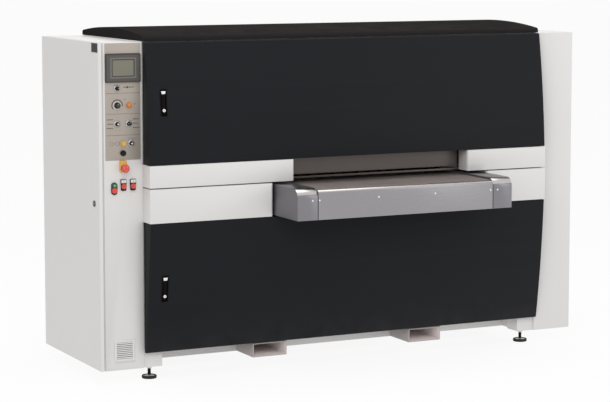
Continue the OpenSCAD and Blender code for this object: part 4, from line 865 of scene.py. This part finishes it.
# Fixed holders of the controls

holders = {
    # finish, inner and outer radius, height
    "lamp": ("orangeLens", 0.0113, 0.014, 0.0088), "reset": ("yellowPlastic", 0.0113, 0.014, 0.0088),
    "black": ("blackPlastic", 0.0113, 0.014, 0.0088), "knob": ("knobRing", 0.0153, 0.0212, 0.0016),
}
selectorRing = [(0.0113, 0), (0.017, 0), (0.0168, 0.0012), (0.0146, 0.004), (0.0126, 0.0048), (0.0113, 0.0046)]


def holderRings():
    for key, (finish, inner, outer, height) in holders.items():
        ring = flatRing(ringOutline(outer, 48), ringOutline(inner, 48), 0, height, onPanel(key))
        build(key + "Ring", [ring], finish, "black_plastic")
    rings = [lathe(selectorRing, onPanel(key), segments=48, closed=True) for key in ("mode", "left", "right", "feed")]
    build("selectorRings", rings, "bezelChrome", "bright_steel")


# Stop and start buttons

stops = {
    "y": -0.41, "double": (-1.2851, 0.966), "middle": (-1.2369, 0.981), "right": (-1.1881, 0.981),
    # plates: (width, height, corner), low, high and edge
    "singleBody": ((0.03, 0.056, 0.004), 0, 0.0085, 0.0014), "narrowing": 0.3,
    "doubleBody": ((0.0302, 0.06, 0.014, 9), 0, 0.0085, 0.0016), "doubleDrop": 0.001,
    "label": ((0.0256, 0.015, 0.002), 0.008, 0.0091, 0.0003), "labelUp": 0.0178,
    "mark": ((0.0016, 0.009, 0.0004), 0.009, 0.0093, 0),
    "green": ((0.024, 0.021, 0.005), 0.006, 0.0118, 0.0012), "greenUp": 0.0145,
    "red": ((0.027, 0.026, 0.009, 8), 0.006, 0.015, 0.0026), "redDown": 0.0105,
    "spot": (0.003, 0.0117, 0.0121), "capDown": 0.0065,
    "cap": [(0.0132, 0.0046), (0.0132, 0.0128), (0.0124, 0.0142), (0.0108, 0.0146), (0.0096, 0.0138),
            (0.002, 0.0134)],
}


def atStop(key, dz=0.0):
    x, z = stops[key]
    return x, stops["y"], z + dz


def stopBodies():
    # below its middle the body narrows by the sixth power of the depth
    size, *depths = stops["singleBody"]
    outline = roundRect(*size)
    low = outline[:, 1] < 0
    outline[low, 0] *= 1 - stops["narrowing"] * (outline[low, 1] * 2 / size[1]) ** 6
    parts = [prism(outline, *depths, atStop(key)) for key in ("middle", "right")]
    parts.append(slab(stops["doubleBody"], atStop("double", -stops["doubleDrop"])))
    build("stopBodies", parts, "blackPlastic", "black_plastic", "frame", "button_holders")


emergency = {
    "x": -1.2405, "y": -0.41, "boxZ": 1.0735, "headDown": 0.0085,
    "box": ((0.033, 0.056, 0.004), 0, 0.0205, 0.0016),
    "seat": [(0.0121, 0.02), (0.016, 0.02), (0.016, 0.0226), (0.0138, 0.0238), (0.0121, 0.0238)],
    "stem": [(0.0118, 0.016), (0.0118, 0.0345), (0.0196, 0.0375), (0.0205, 0.04)],
    "crown": (0.0205, 0.044, 0.0085),  # radius, height of the rim and rise
    "arrow": {"radius": 0.01, "width": 0.0014, "start": 15, "end": 80, "y": -0.4608, "proud": 0.0006},
}


def emergencyStop():
    e = emergency
    x, y, z = e["x"], e["y"], e["boxZ"]
    build("stopBox", [slab(e["box"], (x, y, z))], "yellowPlastic", "yellow_plastic")
    z -= e["headDown"]
    seat = lathe(e["seat"], (x, y, z), segments=48, closed=True)
    build("stopSeat", [seat], "blackPlastic", "black_plastic")
    # the head falls from its middle to its rim by a quarter of an ellipse
    radius, rim, rise = e["crown"]
    crown = [(radius * cos(k), rim + rise * sin(k)) for k in np.linspace(0, 1.45, 10)]
    head = lathe(e["stem"] + crown, (x, y, z), segments=56)
    build("stopHead", [head], "redPlastic", "red_plastic", "estop", "estop_head")
    arrow = e["arrow"]
    arrows = [arcBar((x, z), arrow["radius"], arrow["width"], k * 120 + arrow["start"], k * 120 + arrow["end"],
                     arrow["y"], arrow["proud"], 16) for k in range(3)]
    build("stopArrows", arrows, "whitePlastic", "red_plastic", "estop")


def stopButtons():
    for key in ("middle", "right"):
        spot = atStop(key, stops["labelUp"])
        build(key + "Label", [slab(stops["label"], spot)], "whitePlastic", "light_plastic")
        build(key + "LabelMark", [slab(stops["mark"], spot)], "printInk", "black_plastic")
        cap = lathe(stops["cap"], atStop(key, -stops["capDown"]), segments=44)
        build(key + "StopCap", [cap], "redPlastic", "red_plastic", "stop_" + key, "stop_button_" + key)
    greenAt, redAt = atStop("double", stops["greenUp"]), atStop("double", -stops["redDown"])
    build("startCap", [slab(stops["green"], greenAt)], "greenPlastic", "green_plastic", "start", "start_button")
    build("leftStopCap", [slab(stops["red"], redAt)], "redPlastic", "red_plastic", "stop_left", "stop_button_left")
    radius, *depths = stops["spot"]
    spot = prism(ringOutline(radius, 20), *depths, 0, greenAt)
    build("startMark", [spot], "whitePlastic", "green_plastic", "start")


holderRings()
stopBodies()
emergencyStop()
stopButtons()
print("stop buttons and holders built")


# Swing handles: each has its dish in a door, whose skin bulges and leans by a few degrees

handles = {
    # body of the door, body and node of the lever, heights of the door's outer and inner edge and of the handle, and
    # which way the skin leans
    "hood": ("hood", "hood_lever", "hood_latch_lever", 1.676, 1.0785, 1.3815, 1),
    "lower": ("lower_door", "lower_lever", "lower_latch_lever", 0.141, 0.7895, 0.465, -1),
}
handleShape = {
    "x": -1.049, "doorFront": -0.41, "skin": 0.025, "slope": 0.066, "bulge": 0.036,
    "top": 0.0605, "bottom": -0.059, "half": 0.0088, "flare": 0.0032, "heel": 0.0026,
    "lever": (-0.009, 0.002, 0.0016), "cap": (0.001, 0.0038, 0.0008), "lockDown": 0.039,
    "lockSlot": ((0.0018, 0.007, 0.0005), 0.0037, 0.004, 0),
    "capOutline": [(-0.0086, 0.0415), (0.0086, 0.0415), (0.0117, 0.056), (-0.0117, 0.056)],
    "lock": [(0.0078, 0.0), (0.0078, 0.0036), (0.0068, 0.0046), (0.0046, 0.0046), (0.0042, 0.0038), (0.001, 0.0038)],
    "sealOuter": (0.0378, 0.1378, 0.01, 7), "sealInner": (0.0352, 0.1352, 0.0088, 7), "sealProud": 0.0012,
}


def swingHandle(name, door, leverBody, node, far, near, z, way):
    shape = handleShape
    # the skin stands out by skin + slope s + bulge s (1 - s), with s from the far edge to the near one
    height = abs(far - near)
    s = abs(z - far) / height
    out = shape["skin"] + shape["slope"] * s + shape["bulge"] * s * (1 - s)
    lean = atan((shape["slope"] + shape["bulge"] * (1 - 2 * s)) / height) * way
    place = np.array((shape["x"], shape["doorFront"] - out, z))
    face = (1, 0, 0), (0, sin(lean), cos(lean))
    # half width of the lever from top to bottom: wide ends, a waist between them, the last points rounded off
    v = np.linspace(shape["top"], shape["bottom"], 30)
    t = (v - v[-1]) / (v[0] - v[-1])
    half = shape["half"] + shape["flare"] * t ** 3 + shape["heel"] * (1 - t) ** 4
    half[-4:] *= np.array([0.96, 0.86, 0.68, 0.4])
    half[0] *= 0.94
    outline = thereAndBack(np.stack([-half, v], 1), np.stack([half, v], 1))
    lever = prism(outline, *shape["lever"], place, face)
    build(name + "Lever", [lever], "dishBlack", "black_plastic", leverBody, node)
    lockPlace = place - np.array(face[1]) * shape["lockDown"]
    cap = prism(np.array(shape["capOutline"]), *shape["cap"], place, face)
    lock = lathe(shape["lock"], lockPlace, face, 36)
    build(name + "LeverChrome", [cap, lock], "screwSteel", "bright_steel", leverBody)
    # the lock's key slot is a dark patch of painted shade
    build(name + "LeverSlot", [slab(shape["lockSlot"], lockPlace, face)], "paintedShadeDark", "black_plastic", leverBody)
    seal = flatRing(roundRect(*shape["sealOuter"]), roundRect(*shape["sealInner"]), 0, shape["sealProud"],
                    place, face)
    build(name + "DishSeal", [seal], "sealRubber", "black_plastic", door)


# Conveyor tables: screws in the noses, and the same behind

tableScrews = {"x": (-0.382, -0.343, -0.013, 0.311, 0.637, 0.679), "y": 0.766, "z": 0.895, "size": (0.0046, 0.0014)}


def tableTrim():
    t = tableScrews
    for name, y, face in (("frontTableScrews", -t["y"], frontFace), ("rearTableScrews", t["y"], rearFace)):
        screws = [buttonHead(*t["size"], (x, y, t["z"]), face) for x in t["x"]]
        build(name, screws, "screwSteel", "bright_steel")


# Throat guard: dark strips of painted shade, a shadow gap down its right edge and shade along its lip

guard = {
    # place, width and height, and the depths between which it stands
    "guardEdgeShadow": ((0.6462, -0.4082, 0.9785), (0.0075, 0.104), (0, 0.0008)),
    "guardLipShade": ((-0.35, -0.406, 0.966), (1.0, 0.01), (-0.002, 0.0006)),
}


def guardTrim():
    # each strip is a dark patch of painted shade
    for name, (place, (w, h), depths) in guard.items():
        build(name, [prism(rectangle(0, 0, w, h), *depths, 0, place)], "paintedShadeDark", "black_plastic", "upper_unit")


# Side door: plate without words, lock insert and the seal behind the door, coloured pale as a painted highlight along
# the door's edge

sideDoor = {
    "plateAt": (-1.36, -0.3585, 1.6505), "plate": ((0.083, 0.045, 0.002), 0, 0.0008, 0.0002),
    "field": ((0.036, 0.036, 0.001), 0.0007, 0.001, 0), "fieldOff": 0.0195,
    "lockAt": (-1.3621, -0.337, 0.888), "lock": [(0.0062, -0.001), (0.0062, 0.0004), (0.0054, 0.0008)],
    "sealAt": (-1.3362, -0.014, 0.8705), "seal": ((0.784, 1.603, 0.003), (0.768, 1.587, 0.003), 0.0072),
}


def sideTrim():
    d = sideDoor
    x, y, z = d["plateAt"]
    build("sidePlate", [slab(d["plate"], d["plateAt"], leftFace)], "plateDark", "black_plastic", "side_door")
    fields = [slab(d["field"], (x, y + s * d["fieldOff"], z), leftFace) for s in (-1, 1)]
    build("sidePlateFields", fields, "plateField", "black_plastic", "side_door")
    build("lockInsert", [lathe(d["lock"], d["lockAt"], leftFace, 28)], "zinc", "lock_zinc", "side_lock")
    outer, inner, height = d["seal"]
    ring = flatRing(roundRect(*outer), roundRect(*inner), 0, height, d["sealAt"], leftFace)
    build("cabinetSealHighlight", [ring], "paleSealHighlight", "black_plastic")


# Feet: a thin threaded stem on a pale zinc pad with a rubber rim; the pad's pale colour is partly a painted highlight

feet = {
    "x": 1.085, "y": 0.35, "stemRadius": 0.008, "thread": 0.0005, "stem": (0.012, 0.064, 53),
    "rim": [(0.03, 0.0005), (0.0355, 0), (0.0372, 0.0018), (0.0372, 0.012), (0.036, 0.0142), (0.0335, 0.015),
            (0.0312, 0.0142), (0.03, 0.0122)],
    "pad": [(0.0301, 0.002), (0.0301, 0.0114), (0.0288, 0.0122), (0.015, 0.0138), (0.0125, 0.0162), (0.01, 0.017)],
    "nut": (0.05, 0.061, 0.001), "nutRadius": 0.014,
    "washer": [(0.015, 0.0612), (0.0155, 0.0622), (0.0155, 0.064), (0.015, 0.0648)],
}


def feetPieces():
    pads, rims, stems, nuts = [], [], [], []
    # the thread: a radius that swings by a cosine, one turn for every two points
    thread = [(feet["stemRadius"] + feet["thread"] * cos(k * pi), z)
              for k, z in enumerate(np.linspace(*feet["stem"]))]
    for at in [(sx * feet["x"], sy * feet["y"], 0) for sx in (-1, 1) for sy in (-1, 1)]:
        rims.append(lathe(feet["rim"], at, topFace, 48, closed=True))
        pads.append(lathe(feet["pad"], at, topFace, 44))
        stems.append(lathe(thread, at, topFace, 18))
        nuts.append(prism(ringOutline(feet["nutRadius"], 6), *feet["nut"], at, topFace))
        nuts.append(lathe(feet["washer"], at, topFace, 32))
    build("footPads", pads, "paleZincAndHighlight", "foot_steel", "frame", "leveling_feet")
    build("footRims", rims, "sealRubber", "roller_rubber")
    build("footStems", stems, "blackSteel", "foot_steel")
    build("footNuts", nuts, "paleZincAndHighlight", "foot_steel")


# Cabinet: slotted ducts between and beside the rows of devices; the slots are dark patches of painted shade

ductwork = {
    "x": -1.1535, "rows": (0.262, 0.545, 0.83, 1.115, 1.4), "row": ((0.61, 0.044, 0.002), 0, 0.05, 0.002),
    "sides": (-0.312, 0.312), "sideZ": 0.831, "side": ((0.028, 1.12, 0.002), 0, 0.046, 0.002),
    "slot": ((0.004, 0.03, 0.001), 0.0499, 0.0504, 0), "slotStart": -0.296, "slotStep": 0.01365, "slots": 44,
}


def cabinetFitting():
    d, ducts, slots = ductwork, [], []
    for z in d["rows"]:
        ducts.append(slab(d["row"], (d["x"], 0, z), leftFace))
        slots += [slab(d["slot"], (d["x"], d["slotStart"] + k * d["slotStep"], z), leftFace)
                  for k in range(d["slots"])]
    ducts += [slab(d["side"], (d["x"], y, d["sideZ"]), leftFace) for y in d["sides"]]
    build("cabinetDucts", ducts, "ductGrey", "grey_plastic")
    build("ductSlots", slots, "paintedShadeDark", "grey_plastic")


for pieceName, values in handles.items():
    swingHandle(pieceName, *values)
tableTrim()
guardTrim()
sideTrim()
feetPieces()
cabinetFitting()
print("handles, tables, side and feet built")


# Rear: rolled edges of the collars and the screws of the three covers

rear = {
    "y": 0.41, "collarX": (-0.6, 0.6), "collarZ": (0.431, 1.386),
    "bead": (0.0752, 0.077, 0.002),  # radius and depth of its middle, and its own radius
    "weld": [(0.0749, 0.0001), (0.08, 0.0001), (0.0765, 0.0012), (0.0752, 0.0035), (0.0749, 0.0036)],
    "covers": ((0.141, 0.7895), (0.7925, 1.0755), (1.0785, 1.676)), "inset": 0.014, "sideX": 1.112, "across": 9,
    "screw": (0.0062, 0.0028),
    "table": ((-0.5, 0.8), (0.79, 1.02)),  # no screws where the rear table meets the covers
}


def rearTrim():
    beads, screws = [], []
    radius, depth, own = rear["bead"]
    # the bead is a circle turned about the collar, the weld a low fillet at its foot
    circle = (ringOutline(own, 10) + (radius, depth))[::-1]
    for x in rear["collarX"]:
        for z in rear["collarZ"]:
            beads += [lathe(profile, (x, rear["y"], z), rearFace, 56, closed=True)
                      for profile in (circle, rear["weld"])]
    build("collarBeads", beads, "coat", "coat")
    (x0, x1), (z0, z1) = rear["table"]
    side = rear["sideX"]
    for low, high in rear["covers"]:
        spots = [(x, z) for z in (low + rear["inset"], high - rear["inset"])
                 for x in np.linspace(-side, side, rear["across"]) if not (z0 < z < z1 and x0 < x < x1)]
        if high - low > 0.4:
            spots += [(x, z) for x in (-side, side) for z in np.linspace(low, high, 4)[1:3]]
        screws += [buttonHead(*rear["screw"], (x, rear["y"], z), rearFace) for x, z in spots]
    build("coverScrews", screws, "zinc", "bright_steel")


# Vent: a filter mat behind the louvres, felted in slow waves

vent = {
    "centre": (-1.238, 0.162), "matY": -0.4062, "half": (0.0415, 0.0405), "count": 34,
    "screwY": -0.414, "screwOff": (0.047, 0.0485), "screw": (0.0026, 0.001),
}


def ventFilter():
    x, z = vent["centre"]
    count = vent["count"]
    u, v = np.meshgrid(*(np.linspace(-h, h, count) for h in vent["half"]), indexing="ij")
    # depth: a product of two waves across and along the mat, plus a finer slanting wave
    depth = 0.0008 * np.sin(u * 420) * np.cos(v * 380) + 0.0004 * np.sin(u * 1300 + v * 900)
    points = np.stack([x + u, vent["matY"] + depth, z + v], -1).reshape(-1, 3)
    build("ventFilter", [(points, gridFaces(count, count))], "filterMat", "black_plastic")
    a, b = vent["screwOff"]
    screws = [buttonHead(*vent["screw"], (x + sx * a, vent["screwY"], z + sz * b))
              for sx in (-1, 1) for sz in (-1, 1)]
    build("ventScrews", screws, "screwSteel", "bright_steel")


# Devices in the cabinet: stepped noses, terminal wells painted dark as shade, with screws, toggles, and wires up to
# the ducts

devices = {
    "rows": {0.37032: 3, 0.68518: 4, 0.97582: 5, 1.26646: 6},  # height of a row and its number of devices
    "x": -1.2308, "start": -0.3, "span": 0.6, "gap": 0.01, "pole": 0.019, "wellOff": 0.046,
    "toggle": ((0.012, 0.02, 0.002), 0.0054, 0.0105, 0.0014), "toggleUp": 0.004,
    "screw": [(0.0042, 0.0004), (0.0042, 0.0014), (0.0036, 0.0018)],
    "wire": {"x": -1.229, "radius": 0.0014, "into": 0.029, "sway": 0.004, "from": 0.054, "rise": 0.042},
}


def wirePath(y, z, way):
    # the wire leaves the top terminal, bends upward and goes into the duct above: depth with the square of its share
    w = devices["wire"]
    t = np.linspace(0, 1, 9)
    return np.stack([w["x"] + w["into"] * t ** 2, y + w["sway"] * np.sin(t * pi) * way,
                     z + w["from"] + w["rise"] * t], 1)


def deviceFronts():
    noses, wells, heads, toggles, blue, black = [], [], [], [], [], []
    d, x = devices, devices["x"]
    for z, count in d["rows"].items():
        step = d["span"] / count
        width = step - d["gap"]
        for j in range(count):
            left = d["start"] + j * step
            y = left + width / 2
            noses.append(prism(roundRect(width - 0.004, 0.058, 0.003), 0, 0.0055, 0.0012, (x, y, z), leftFace))
            toggles.append(slab(d["toggle"], (x, y, z + d["toggleUp"]), leftFace))
            poles = max(3, int(width / d["pole"]))
            well = roundRect(width / poles * 0.7, 0.015, 0.0015)
            for k in range(poles):
                yk = left + width * (k + 0.5) / poles
                for side in (-1, 1):
                    spot = (x, yk, z + side * d["wellOff"])
                    wells.append(prism(well, -0.001, 0.0006, 0, spot, leftFace))
                    heads.append(lathe(d["screw"], spot, leftFace, 12))
                wire = sweep(wirePath(yk, z, 1 if k % 2 else -1), d["wire"]["radius"], 6)
                (blue if (k + j) % 3 == 0 else black).append(wire)
    for name, parts, finish, slot in (
            ("deviceNoses", noses, "ductGrey", "grey_plastic"),
            ("terminalWells", wells, "paintedShadeDark", "black_plastic"),
            ("terminalScrews", heads, "zinc", "bright_steel"),
            ("deviceToggles", toggles, "blackPlastic", "black_plastic"),
            ("blueWires", blue, "wireBlue", "black_plastic"),
            ("blackWires", black, "blackPlastic", "black_plastic")):
        build(name, parts, finish, slot)


rearTrim()
ventFilter()
deviceFronts()
print("rear, vent and cabinet details built")
